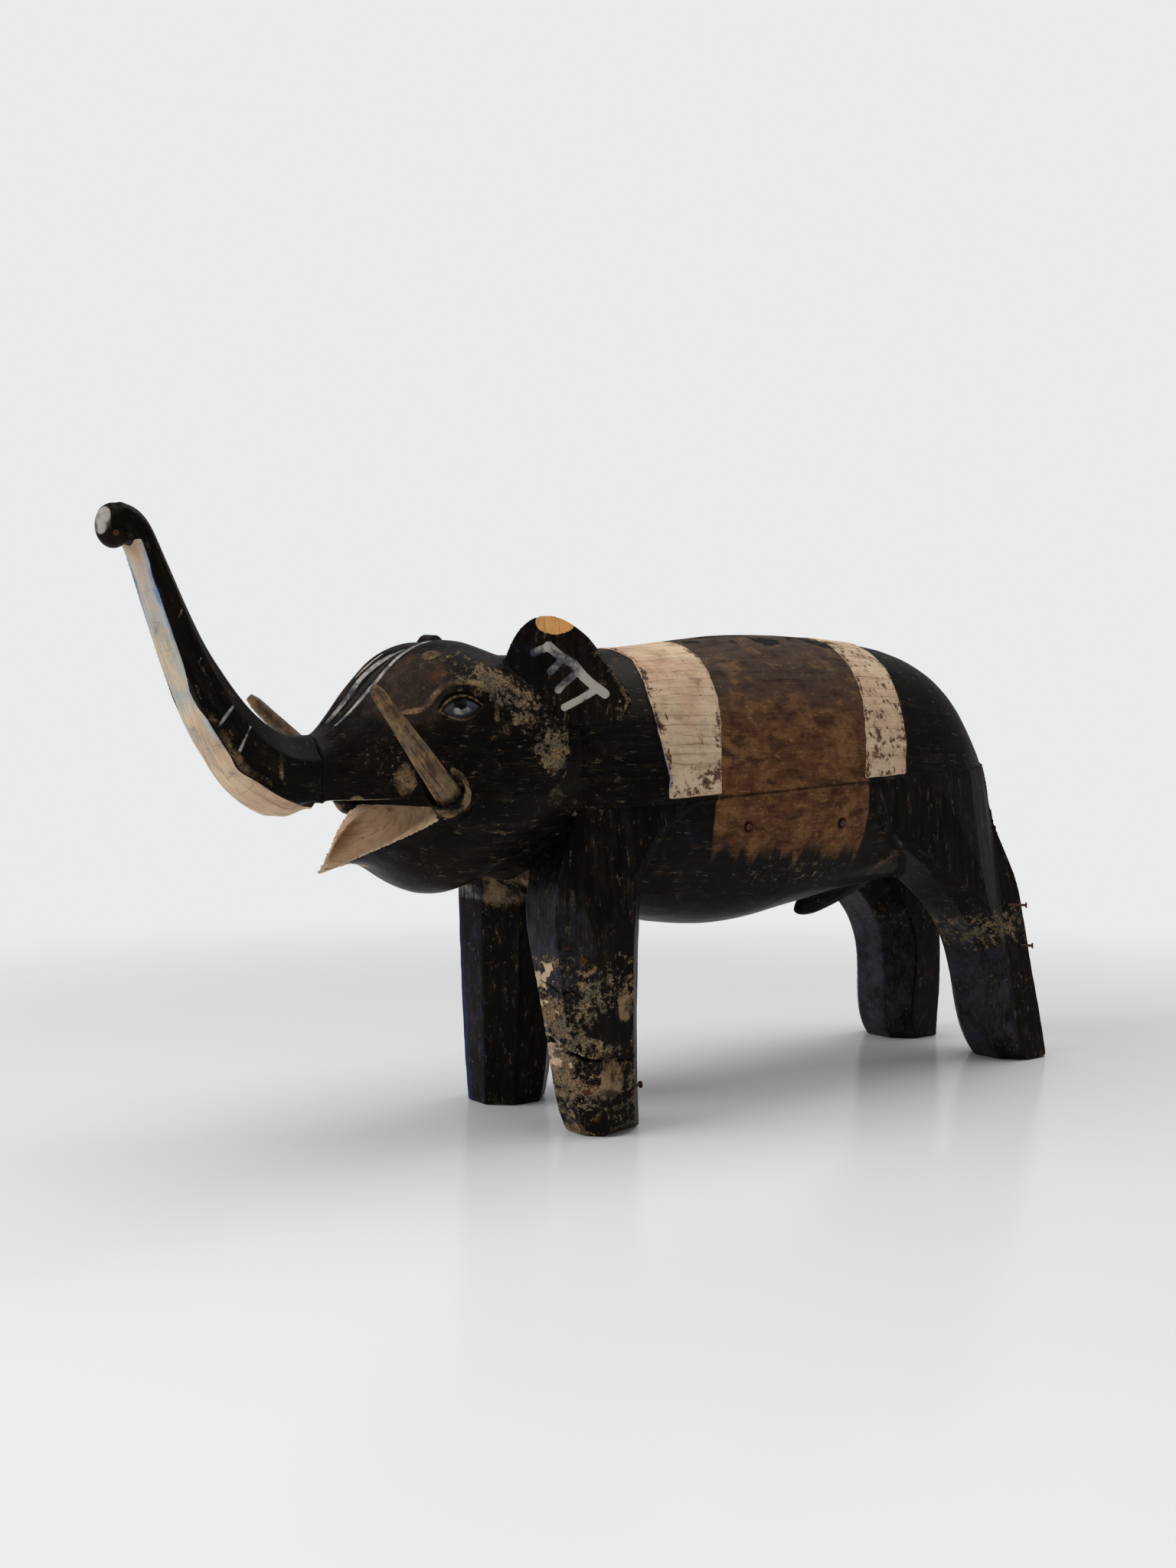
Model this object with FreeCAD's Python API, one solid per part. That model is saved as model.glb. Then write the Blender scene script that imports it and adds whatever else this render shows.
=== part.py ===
import FreeCAD, Part
import math
import os

# Carved and painted wooden elephant, glued up from separately carved pieces and held by dowels and nails.
# Millimetres. +X is the elephant's left, it faces -Y and stands on its four soles at Z = 0.
# Lengths along Y are set out from the middle of the front feet. The finished figure is then moved
# along Y, so that the origin lies under the middle of its bounding box.

Vector = FreeCAD.Vector

# ---------------------------------------------------------------- driving dimensions
NECK_Y = -28.0            # flat joint between head and body
TRUNK_JOINT_Y = -165.0    # flat joint between head and trunk
SEAM_Z = 184.5            # height of the glue line between the two body blocks at Y = 0
SEAM_RISE = 0.066         # the glue line climbs this much per millimetre rearwards
RIM_Y = -160.0            # tip of the lower jaw
RIM_Z = 148.0             # height of its rim at the tip
RIM_SLOPE = 0.68          # the rim climbs this much per millimetre rearwards
MOUTH_CORNER_Y = -104.0   # where rim and upper lip meet
HEAD_LENGTH = NECK_Y - TRUNK_JOINT_Y
LIP_Z = 185.5             # lower edge of the upper lip below the trunk joint
PALATE_RISE = 5.0         # the lip climbs this much towards the corner of the mouth

TUSK_BASE = Vector(55.0, -108.0, 192.0)
TUSK_TIP = Vector(71.8, -163.0, 247.5)
TUSK_TENON_R = 5.0
TUSK_TENON = 12.0         # length of tusk inside its socket
TUSK_SIDES = 8
TUSK_RADII = [(0.0, 7.9), (0.3, 7.0), (0.6, 5.7), (0.94, 4.1), (1.0, 2.6)]
SOCKET_BOSS = Vector(11.5, 12.5, 12.0)   # half sizes of the swelling round the socket
SOCKET_BOSS_SINK = 3.0    # the middle of the swelling lies this far below the root of the tusk
SOCKET_R = 9.6            # carved hollow round the root of the tusk
SOCKET_LENGTH = 26.0      # length of cheek that is hollowed beside the tusk

KNOB_CENTRE = Vector(0.0, -267.0, 326.3)
KNOB = Vector(11.0, 9.0, 11.7)      # half sizes of the knob that the trunk curls into

EAR_THICK = 8.0
EAR_ROOT = Vector(48.0, -63.0, 263.0)    # upper front of the outer face, where the ear enters the head
EAR_FLARE = 0.67          # the outer face moves outwards this much per millimetre rearwards
EAR_LEAN = -0.095         # and this much per millimetre upwards
RIGHT_EAR_SHIFT = Vector(0.0, -9.0, -4.0)   # the right ear was set a little further forward and lower

GLUE_GAP = 0.12           # radial gap round every dowel and peg
NECK_DOWEL_R = 7.0
NECK_DOWEL_REACH = 32.0   # to either side of the neck joint
NECK_DOWEL_X = 26.0
NECK_DOWEL_Z = 215.0
TRUNK_DOWEL_R = 6.0
TRUNK_DOWEL_ENDS = (-17.0, 26.0)    # along Y from the trunk joint
TRUNK_DOWEL_Z = 207.0
BODY_DOWEL_R = 6.0
BODY_DOWEL_REACH = 28.0   # above and below the glue line
BODY_DOWEL_X = 34.0
BODY_DOWEL_ROWS = (120.0, 148.0)
LEG_DOWEL_R = 5.0
LEG_DOWEL_REACH = 46.0    # to either side of the middle of the figure
LEG_DOWEL_PLACES = ((-6.0, 160.0), (18.0, 172.0), (262.0, 180.0), (318.0, 168.0))    # Y, Z
EAR_PEG_R = 2.0
TAIL_PEG_R = 4.0
TAIL_PEG_ENDS = (338.0, 372.0)
TAIL_PEG_Z = 192.0
NAIL_R = 0.9
NAIL_HEAD_R = 2.0
NAIL_HEAD_T = 0.9
NAIL_GAP = 0.03           # clearance of a nail in its hole
FLANK_NAIL_X = 73.2
FLANK_NAIL_Z = 171.0
FLANK_NAIL_ROWS = (90.5, 171.0)
FLANK_NAIL_CLIMB = 0.35   # driven upwards at this slope, through the glue line
FLANK_NAIL_LENGTH = 70.0

# Body, from the neck to the rump: Y, half width, top, bottom, height of the widest point,
# squareness above and below it.
BODY = [
    (NECK_Y, 62.0, 263.0, 140.0, 203.0, 1.95, 2.1),
    (-5.0, 69.0, 274.5, 126.0, 198.0, 1.95, 2.2),
    (47.0, 74.0, 281.0, 113.0, 192.0, 2.1, 2.3),
    (102.0, 75.0, 289.0, 105.5, 190.0, 2.15, 2.2),
    (160.0, 75.0, 294.0, 110.5, 192.0, 2.15, 2.2),
    (211.0, 74.5, 294.0, 119.0, 194.0, 2.15, 2.2),
    (262.0, 73.0, 290.0, 125.0, 194.0, 2.15, 2.2),
    (303.0, 68.0, 277.5, 129.0, 190.0, 2.1, 2.2),
    (327.0, 58.5, 258.5, 133.0, 186.0, 2.0, 2.1),
    (347.0, 46.0, 234.0, 140.0, 182.0, 2.0, 2.0),
    (360.0, 32.0, 209.0, 150.0, 178.0, 2.0, 2.0),
    (367.0, 17.0, 190.0, 160.0, 174.0, 2.0, 2.0),
]

# Keel under the belly, given the same way.
KEEL = [
    (201.0, 3.0, 112.0, 106.0, 109.0, 2.0, 2.0),
    (210.0, 8.0, 122.0, 103.5, 112.0, 2.0, 2.0),
    (230.0, 10.0, 130.0, 107.0, 120.0, 2.0, 2.0),
    (262.0, 10.0, 142.0, 118.0, 131.0, 2.0, 2.0),
    (296.0, 7.0, 152.0, 138.0, 145.0, 2.0, 2.0),
]

# Head, from the neck to the trunk joint, given the same way.
HEAD = [
    (NECK_Y, 66.0, 267.0, 152.0, 209.0, 2.3, 1.85),
    (-52.0, 66.5, 272.0, 144.0, 207.0, 2.6, 2.0),
    (-80.0, 63.5, 278.5, 136.5, 204.0, 2.8, 2.1),
    (-105.0, 56.5, 275.0, 139.0, 203.0, 2.7, 2.1),
    (-125.0, 45.5, 260.5, 151.0, 203.0, 2.4, 2.3),
    (-140.0, 35.0, 244.5, 154.0, 203.0, 2.2, 2.3),
    (-153.0, 27.5, 230.0, 150.5, 202.0, 2.2, 2.0),
    (TRUNK_JOINT_Y, 24.0, 225.0, 147.0, 201.0, 2.4, 1.6),
]

# Hollow of the lower jaw: Y, half width, depth below the rim.
SCOOP = [
    (-153.0, 4.0, 1.2), (-141.0, 15.0, 5.5), (-126.0, 29.0, 13.0), (-112.0, 34.0, 17.0), (-101.0, 20.0, 10.0),
]
SCOOP_RISE = 7.0          # the hollow reaches this far above the rim, into the palate

# Legs, from the sole up: Z, inner and outer X, front and rear Y, outer front bevel, outer rear bevel.
# Above the knee the piece spreads into a shoulder or a thigh that lies on the flank.
FRONT_LEFT_LEG = [
    (0.0, 29.0, 71.0, -22.0, 19.0, 13.0, 13.0),
    (33.0, 24.0, 72.0, -30.0, 17.0, 14.0, 13.0),
    (93.0, 15.5, 73.0, -38.0, 19.0, 17.0, 16.0),
    (130.0, 10.0, 74.0, -41.0, 19.0, 18.0, 15.0),
    (155.0, 11.0, 74.5, -36.0, 20.0, 18.0, 11.0),
    (172.0, 13.0, 75.0, -30.0, 30.0, 17.0, 8.0),
    (196.0, 14.0, 75.5, -27.0, 72.0, 17.0, 5.0),
]
FRONT_RIGHT_LEG = [
    (0.0, 27.0, 73.0, -24.0, 22.0, 14.0, 14.0),
    (40.0, 21.0, 74.5, -27.0, 26.0, 15.0, 15.0),
    (93.0, 15.0, 74.0, -31.0, 27.0, 17.0, 17.0),
    (130.0, 12.0, 73.5, -33.0, 27.0, 18.0, 17.0),
    (155.0, 12.0, 74.5, -32.0, 28.0, 18.0, 13.0),
    (172.0, 13.0, 75.0, -29.0, 36.0, 17.0, 8.0),
    (196.0, 14.0, 75.5, -27.0, 72.0, 17.0, 5.0),
]
REAR_LEFT_LEG = [
    (0.0, 26.0, 77.0, 342.0, 391.0, 15.0, 15.0),
    (50.0, 19.0, 78.0, 324.0, 381.0, 17.0, 17.0),
    (100.0, 14.0, 78.0, 304.0, 372.0, 17.0, 19.0),
    (130.0, 12.0, 77.5, 268.0, 364.5, 12.0, 20.0),
    (153.0, 11.0, 76.5, 232.0, 354.0, 8.0, 21.0),
    (172.0, 11.0, 75.5, 203.0, 346.0, 6.0, 22.0),
    (208.0, 13.0, 75.0, 190.0, 333.5, 5.0, 24.0),
]
REAR_RIGHT_LEG = [
    (0.0, 26.0, 77.0, 343.0, 395.0, 15.0, 15.0),
    (50.0, 18.0, 79.0, 329.5, 392.0, 18.0, 18.0),
    (100.0, 13.0, 79.0, 312.0, 384.0, 18.0, 20.0),
    (130.0, 12.0, 78.0, 276.0, 372.0, 12.0, 20.0),
    (153.0, 11.0, 77.0, 238.0, 360.0, 8.0, 21.0),
    (172.0, 11.0, 75.5, 205.0, 351.0, 6.0, 22.0),
    (208.0, 13.0, 75.0, 190.0, 338.0, 5.0, 24.0),
]

LEG_INNER_BEVEL = 0.28    # bevel of the inner corners, as a share of the leg's width

# Worn outer edges of the two left soles: Y, width on the sole, height on the side, at either end of the wear.
FRONT_WEAR = [(-24.0, 2.0, 1.5), (21.0, 14.0, 11.5)]
REAR_WEAR = [(368.0, 1.0, 0.5), (393.0, 10.0, 6.0)]

# Trunk, from the joint to the tip: back edge Y, Z, keel Y, Z, half width, drop of the keel below the sides.
TRUNK = [
    (-165.0, 225.0, -165.0, 178.0, 24.0, 9.0),
    (-178.0, 224.5, -181.0, 180.5, 22.5, 9.5),
    (-188.0, 229.0, -197.0, 188.0, 20.5, 9.0),
    (-200.0, 239.5, -212.5, 203.0, 18.5, 6.0),
    (-213.5, 257.0, -228.0, 233.0, 16.2, 1.5),
    (-226.0, 277.0, -241.0, 265.0, 14.5, 1.0),
    (-237.0, 300.0, -250.5, 293.0, 14.0, 1.0),
    (-246.5, 320.5, -257.0, 312.5, 13.5, 1.0),
    (-254.0, 333.0, -262.0, 322.5, 12.5, 1.0),
    (-266.0, 338.0, -266.5, 326.0, 10.5, 1.0),
]
TRUNK_ROUND = 0.30        # share of the depth that the rounded back takes up
TRUNK_BACK_FLAT = 0.5     # width of the flat along the back, as a share of the trunk's width
TRUNK_KEEL_FLAT = 0.45    # and of the flat along the keel

# Outline of the left ear on its flared plane: Y, Z. Its front edge is let into a slot in the head.
EAR_OUTLINE = [
    (-67.0, 265.0), (-61.0, 280.0), (-53.0, 289.0), (-45.0, 291.0), (-37.0, 288.0), (-26.0, 277.0),
    (-16.0, 259.0), (-9.5, 241.0), (-13.0, 233.5), (-25.0, 230.0), (-38.0, 230.0), (-50.0, 238.0),
    (-60.0, 250.0),
]
EAR_PEG_PLACES = [(-55.0, 255.0), (-45.0, 241.0)]
EAR_PEG_DEPTHS = (1.0, 20.0)    # ends of a peg, measured inwards from the outer face of the ear

# Tail, from the rump down: centre, radius.
TAIL = [
    (Vector(0, 360.0, 200.0), 7.0), (Vector(0, 374.0, 190.0), 7.0), (Vector(0, 382.0, 165.0), 5.0),
    (Vector(0, 384.0, 140.0), 4.5), (Vector(0, 385.0, 122.0), 6.5), (Vector(0, 385.0, 105.0), 2.5),
]
TAIL_SIDES = 8


# ---------------------------------------------------------------- geometry helpers
def closed(points):
    """Closed polygon through the points."""
    return Part.makePolygon(points + points[:1])


def smooth_wire(points):
    """Closed smooth curve through the points."""
    curve = Part.BSplineCurve()
    curve.interpolate(Points=points, PeriodicFlag=True)
    return Part.Wire(curve.toShape())


def egg_section(y, half_width, top, bottom, widest, upper, lower, count=20):
    """Smooth section across the figure, with its own squareness above and below its widest point."""
    points = []
    for step in range(count):
        angle = 2.0 * math.pi * step / count
        above = math.sin(angle) >= 0.0
        power = 2.0 / (upper if above else lower)
        reach = top - widest if above else widest - bottom
        x = half_width * math.copysign(abs(math.cos(angle)) ** power, math.cos(angle))
        z = widest + reach * math.copysign(abs(math.sin(angle)) ** power, math.sin(angle))
        points.append(Vector(x, y, z))
    return smooth_wire(points)


def leg_section(z, x_in, x_out, y_front, y_rear, front_bevel, rear_bevel):
    """Eight-sided section of a leg, with its corners carved off."""
    inner_bevel = LEG_INNER_BEVEL * (x_out - x_in)
    corners = [
        (x_out, y_front + front_bevel), (x_out, y_rear - rear_bevel),
        (x_out - rear_bevel, y_rear), (x_in + inner_bevel, y_rear),
        (x_in, y_rear - inner_bevel), (x_in, y_front + inner_bevel),
        (x_in + inner_bevel, y_front), (x_out - front_bevel, y_front),
    ]
    return closed([Vector(x, y, z) for x, y in corners])


def ring(centre, along, radius, sides):
    """Regular polygon across a direction."""
    across = along.cross(Vector(1, 0, 0)).normalize()
    other = along.cross(across).normalize()
    points = []
    for step in range(sides):
        angle = 2.0 * math.pi * (step + 0.5) / sides
        points.append(centre + across * (radius * math.cos(angle)) + other * (radius * math.sin(angle)))
    return closed(points)


def loft(wires, ruled=False):
    """Solid through the wires, straight between them where it is ruled."""
    return Part.makeLoft(wires, True, ruled)


def rod(start, end, radius):
    """Round rod from start to end."""
    along = end - start
    return Part.makeCylinder(radius, along.Length, start, along)


def mirrored(shape):
    """The same shape on the elephant's other side."""
    return shape.mirror(Vector(0, 0, 0), Vector(1, 0, 0))


def both_sides(shape):
    """The shape and its mirror image."""
    return [shape, mirrored(shape)]


def side_prism(points, half_width=120.0):
    """Prism across the figure from an outline given as Y, Z."""
    corners = [Vector(-half_width, y, z) for y, z in points]
    return Part.Face(closed(corners)).extrude(Vector(2.0 * half_width, 0, 0))


def ellipsoid(centre, half):
    """Upright ellipsoid from its centre and half sizes."""
    squash = FreeCAD.Matrix()
    squash.scale(half.x, half.y, half.z)
    shape = Part.makeSphere(1.0).transformGeometry(squash)
    shape.translate(centre)
    return shape


def seam_height(y):
    """Height of the body's glue line."""
    return SEAM_Z + SEAM_RISE * y


def rim_height(y):
    """Height of the rim of the lower jaw."""
    return RIM_Z + RIM_SLOPE * (y - RIM_Y)


def above_seam():
    """Everything above the glue line of the body."""
    front, rear, top = -80.0, 450.0, 340.0
    return side_prism([(front, seam_height(front)), (rear, seam_height(rear)), (rear, top), (front, top)])


def drilled(shape, rods):
    """Shape with a glued hole for each rod, given as start, end and radius."""
    for start, end, radius in rods:
        shape = shape.cut(rod(start, end, radius + GLUE_GAP))
    return shape


def group(rods):
    """Separate round rods that share one node."""
    return Part.makeCompound([rod(start, end, radius) for start, end, radius in rods])


# ---------------------------------------------------------------- dowels, pegs and nails
# Rods are given as start, end and radius; nails as the middle of the head's outer face, direction and length.
NECK_DOWELS = [(Vector(x, NECK_Y - NECK_DOWEL_REACH, NECK_DOWEL_Z),
                Vector(x, NECK_Y + NECK_DOWEL_REACH, NECK_DOWEL_Z), NECK_DOWEL_R)
               for x in (-NECK_DOWEL_X, NECK_DOWEL_X)]
TRUNK_DOWEL = [(Vector(0, TRUNK_JOINT_Y + TRUNK_DOWEL_ENDS[0], TRUNK_DOWEL_Z),
                Vector(0, TRUNK_JOINT_Y + TRUNK_DOWEL_ENDS[1], TRUNK_DOWEL_Z), TRUNK_DOWEL_R)]
BODY_DOWELS = [(Vector(x, y, seam_height(y) - BODY_DOWEL_REACH),
                Vector(x, y, seam_height(y) + BODY_DOWEL_REACH), BODY_DOWEL_R)
               for x in (-BODY_DOWEL_X, BODY_DOWEL_X) for y in BODY_DOWEL_ROWS]
LEG_DOWELS = [(Vector(-LEG_DOWEL_REACH, y, z), Vector(LEG_DOWEL_REACH, y, z), LEG_DOWEL_R)
              for y, z in LEG_DOWEL_PLACES]
TAIL_PEG = [(Vector(0, TAIL_PEG_ENDS[0], TAIL_PEG_Z), Vector(0, TAIL_PEG_ENDS[1], TAIL_PEG_Z), TAIL_PEG_R)]
FLANK_NAILS = [(Vector(side * FLANK_NAIL_X, y, FLANK_NAIL_Z), Vector(-side, 0.0, FLANK_NAIL_CLIMB),
                FLANK_NAIL_LENGTH)
               for side in (-1, 1) for y in FLANK_NAIL_ROWS]
LEG_NAILS = [
    (Vector(63.5, 15.3, 25.5), Vector(-0.15, -1.0, 0.0), 24.0),
    (Vector(68.3, 363.3, 108.0), Vector(-1.0, -0.9, 0.0), 22.0),
    (Vector(69.5, 369.0, 79.0), Vector(-1.0, -0.9, 0.0), 22.0),
]


def nail(place, direction, length):
    """Wire nail with a flat head."""
    way = Vector(direction).normalize()
    return rod(place, place + way * length, NAIL_R).fuse(rod(place, place + way * NAIL_HEAD_T, NAIL_HEAD_R))


def nailed(shape, nails):
    """Shape with a close hole for each nail, its head let in."""
    for place, direction, length in nails:
        way = Vector(direction).normalize()
        shank = rod(place, place + way * (length + NAIL_GAP), NAIL_R + NAIL_GAP)
        head = rod(place - way * NAIL_HEAD_R, place + way * (NAIL_HEAD_T + NAIL_GAP), NAIL_HEAD_R + NAIL_GAP)
        shape = shape.cut(shank.fuse(head))
    return shape


def nail_group(nails):
    """Separate nails that share one node."""
    return Part.makeCompound([nail(*entry) for entry in nails])


# ---------------------------------------------------------------- pieces
EAR_INWARDS = Vector(-1.0, EAR_FLARE, EAR_LEAN).normalize()


def worn_edge(stations, wear):
    """What is worn off the outer edge of a left sole."""
    outer = stations[0][2]
    beyond = outer + 5.0
    ends = []
    for y, width, height in wear:
        slope = height / width
        ends.append(closed([Vector(outer - width, y, 0), Vector(beyond, y, height + slope * (beyond - outer)),
                            Vector(beyond, y, 0)]))
    return loft(ends, True)


def make_leg(stations, side, wear=None):
    """Leg cut off along the glue line, its sole worn where wear is given."""
    leg = loft([leg_section(*station) for station in stations]).cut(above_seam())
    if wear:
        leg = leg.cut(worn_edge(stations, wear))
    return leg if side > 0 else mirrored(leg)


def make_head():
    """Head with an open mouth and a hollow lower jaw, between its two flat joints."""
    head = loft([egg_section(*station) for station in HEAD])
    far = TRUNK_JOINT_Y - HEAD_LENGTH
    corner_z = rim_height(MOUTH_CORNER_Y)
    mouth = side_prism([(MOUTH_CORNER_Y, corner_z), (MOUTH_CORNER_Y, LIP_Z + PALATE_RISE), (far, LIP_Z),
                        (far, rim_height(far))])
    hollow = []
    for y, half, depth in SCOOP:
        rim = rim_height(y)
        hollow.append(egg_section(y, half, rim + SCOOP_RISE, rim - depth, rim, 2.0, 2.0))
    scoop = loft(hollow)
    head = head.cut(mouth).cut(scoop)
    along = (TUSK_TIP - TUSK_BASE).normalize()
    boss = ellipsoid(TUSK_BASE - along * SOCKET_BOSS_SINK, SOCKET_BOSS)
    hole = rod(TUSK_BASE - along * (TUSK_TENON + GLUE_GAP), TUSK_BASE, TUSK_TENON_R + GLUE_GAP)
    socket = rod(TUSK_BASE, TUSK_BASE + along * SOCKET_LENGTH, SOCKET_R)
    for shape in both_sides(boss):
        head = head.fuse(shape)
    for tool in (hole, socket):
        for shape in both_sides(tool):
            head = head.cut(shape)
    return head


def make_trunk():
    """Trunk with a rounded back and a low keel underneath, curled forward into a knob at the tip."""
    wires = []
    for back_y, back_z, keel_y, keel_z, half, drop in TRUNK:
        back = Vector(0, back_y, back_z)
        keel = Vector(0, keel_y, keel_z)
        depth = (back - keel).Length
        up = (back - keel).normalize()
        side = Vector(half, 0, 0)
        lower = keel + up * drop
        upper = back - up * (TRUNK_ROUND * depth)
        keel_edge = side * TRUNK_KEEL_FLAT
        back_edge = side * TRUNK_BACK_FLAT
        right = [keel + keel_edge, lower + side, upper + side, back + back_edge]
        left = [back - back_edge, upper - side, lower - side, keel - keel_edge]
        wires.append(closed(right + left))
    return loft(wires).fuse(ellipsoid(KNOB_CENTRE, KNOB)).removeSplitter()


def make_tusk(side):
    """Straight whittled tusk, with the round tenon that seats it in the cheek."""
    along = TUSK_TIP - TUSK_BASE
    wires = [ring(TUSK_BASE + along * share, along, radius, TUSK_SIDES) for share, radius in TUSK_RADII]
    seat = TUSK_BASE - Vector(along).normalize() * TUSK_TENON
    overlap = along * TUSK_RADII[1][0]
    tusk = loft(wires, ruled=True).fuse(rod(seat, TUSK_BASE + overlap, TUSK_TENON_R))
    return tusk if side > 0 else mirrored(tusk)


def ear_point(y, z):
    """Point on the outer face of the left ear."""
    return Vector(EAR_ROOT.x + EAR_FLARE * (y - EAR_ROOT.y) + EAR_LEAN * (z - EAR_ROOT.z), y, z)


def placed_ear(shape, side):
    """Put a shape that belongs to the left ear on either side."""
    if side > 0:
        return shape
    lowered = shape.copy()
    lowered.translate(RIGHT_EAR_SHIFT)
    return mirrored(lowered)


def make_ear():
    """Flared plate of the left ear."""
    face = Part.Face(smooth_wire([ear_point(y, z) for y, z in EAR_OUTLINE]))
    return face.extrude(EAR_INWARDS * EAR_THICK)


def make_ear_peg(place, gap):
    """Peg through the root of the left ear into the head."""
    outer = ear_point(*place)
    near, far = EAR_PEG_DEPTHS
    return rod(outer + EAR_INWARDS * (near - gap), outer + EAR_INWARDS * (far + gap), EAR_PEG_R + gap)


def make_tail():
    """Hanging tail with a tuft."""
    wires = []
    for index, (centre, radius) in enumerate(TAIL):
        before = TAIL[max(index - 1, 0)][0]
        after = TAIL[min(index + 1, len(TAIL) - 1)][0]
        wires.append(ring(centre, after - before, radius, TAIL_SIDES))
    return loft(wires)


def build():
    """Every piece by name, each one shaped to the pieces it meets."""
    body = loft([egg_section(*station) for station in BODY])
    keel = loft([egg_section(*station) for station in KEEL])
    sides = (1, -1)
    ears = [placed_ear(make_ear(), side) for side in sides]
    pegs = [placed_ear(make_ear_peg(place, 0.0), side) for side in sides for place in EAR_PEG_PLACES]
    peg_holes = [placed_ear(make_ear_peg(place, GLUE_GAP), side) for side in sides for place in EAR_PEG_PLACES]

    head = drilled(make_head(), NECK_DOWELS + TRUNK_DOWEL)
    for tool in ears + peg_holes:
        head = head.cut(tool)
    for index in range(len(ears)):
        for tool in peg_holes:
            ears[index] = ears[index].cut(tool)

    legs = {
        "leg_front_left": make_leg(FRONT_LEFT_LEG, 1, FRONT_WEAR),
        "leg_front_right": make_leg(FRONT_RIGHT_LEG, -1),
        "leg_rear_left": make_leg(REAR_LEFT_LEG, 1, REAR_WEAR),
        "leg_rear_right": make_leg(REAR_RIGHT_LEG, -1),
    }
    above = above_seam()
    back = body.common(above)
    belly = body.cut(above).fuse(keel)
    for name, leg in legs.items():
        belly = belly.cut(leg)
        legs[name] = nailed(drilled(leg, LEG_DOWELS).cut(head), LEG_NAILS)
    tail = make_tail().cut(body)

    parts = {
        "back_block": nailed(drilled(back, NECK_DOWELS + BODY_DOWELS), FLANK_NAILS),
        "belly_block": nailed(drilled(belly, BODY_DOWELS + LEG_DOWELS + TAIL_PEG), FLANK_NAILS),
        "head": head,
        "trunk": drilled(make_trunk(), TRUNK_DOWEL),
        "tusk_left": make_tusk(1),
        "tusk_right": make_tusk(-1),
        "ear_left": ears[0],
        "ear_right": ears[1],
        "tail": drilled(tail, TAIL_PEG),
        "neck_dowels": group(NECK_DOWELS),
        "trunk_dowel": group(TRUNK_DOWEL),
        "body_dowels": group(BODY_DOWELS),
        "leg_dowels": group(LEG_DOWELS),
        "ear_pegs": Part.makeCompound(pegs),
        "tail_peg": group(TAIL_PEG),
        "flank_nails": nail_group(FLANK_NAILS),
        "leg_nails": nail_group(LEG_NAILS),
    }
    parts.update(legs)
    return parts


def export(parts):
    """Centre the figure under its bounding box and write one file per piece."""
    os.makedirs("parts", exist_ok=True)
    box = FreeCAD.BoundBox()
    for shape in parts.values():
        box.add(shape.optimalBoundingBox(False))
    shift = Vector(0, -0.5 * (box.YMin + box.YMax), 0)
    sizes = [round(length, 1) for length in (box.XLength, box.YLength, box.ZLength)]
    print("shift", round(shift.y, 3), "size", sizes)
    for name, shape in parts.items():
        shape.translate(shift)
        shape.exportStep(f"parts/{name}.step")
        volume = round(shape.Volume / 1000.0, 1)
        print(name, "solids", len(shape.Solids), "valid", shape.isValid(), "cm3", volume)


export(build())
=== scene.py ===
import logging
import math
from dataclasses import dataclass
from enum import Enum
from typing import Callable

import bmesh
import bpy
import numpy as np
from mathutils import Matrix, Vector
from mathutils.bvhtree import BVHTree


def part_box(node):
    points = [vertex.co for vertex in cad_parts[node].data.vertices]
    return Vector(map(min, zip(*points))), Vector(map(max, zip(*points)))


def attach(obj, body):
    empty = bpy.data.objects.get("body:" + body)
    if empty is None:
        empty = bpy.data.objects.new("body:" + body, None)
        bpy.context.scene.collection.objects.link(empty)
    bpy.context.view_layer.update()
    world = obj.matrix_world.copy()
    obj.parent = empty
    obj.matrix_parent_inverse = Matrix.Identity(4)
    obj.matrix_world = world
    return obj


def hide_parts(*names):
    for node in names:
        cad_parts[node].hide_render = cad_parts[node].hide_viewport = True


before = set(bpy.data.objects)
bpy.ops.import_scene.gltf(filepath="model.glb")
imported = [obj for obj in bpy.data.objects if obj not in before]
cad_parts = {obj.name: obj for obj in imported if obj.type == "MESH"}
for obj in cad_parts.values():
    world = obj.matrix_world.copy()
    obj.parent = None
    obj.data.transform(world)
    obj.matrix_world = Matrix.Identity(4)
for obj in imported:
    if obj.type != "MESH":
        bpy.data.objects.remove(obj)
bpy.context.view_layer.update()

# A carved and painted elephant figure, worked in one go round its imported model.
# Every place on the figure is in millimetres: X to its left, Y backwards from the line between
# its front feet, Z up from the table.
MM = 0.001
NECK_JOINT = -28.0      # Y of the joint between neck and head
FEET_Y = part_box("back_block")[0].y - NECK_JOINT * MM
JOINT_REACH = 3.0       # width of the undressed rim along a joint
BLOCKS = ("back_block", "belly_block", "head", "trunk", "ear_left", "ear_right", "leg_front_left",
          "leg_front_right", "leg_rear_left", "leg_rear_right", "tail")

Array = np.ndarray
Colour = tuple[float, float, float]
log = logging.getLogger("elephant")


# ------------------------------------------------------------------ small measures
def ramp(values: Array, low: float, high: float) -> Array:
    """Smooth step from 0 at low to 1 at high."""
    part = np.clip((values - low) / (high - low), 0.0, 1.0)
    return part * part * (3.0 - 2.0 * part)


def between(values: Array, low: Array | float, high: Array | float, soft: float) -> Array:
    """1 between low and high, fading over soft on either side."""
    return ramp(values - low, -soft, soft) * (1.0 - ramp(values - high, -soft, soft))


def folded(points: Array) -> Array:
    """The points with those of the right half folded onto the left."""
    return np.abs(points * (1.0, 0.0, 0.0)) + points * (0.0, 1.0, 1.0)


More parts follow.
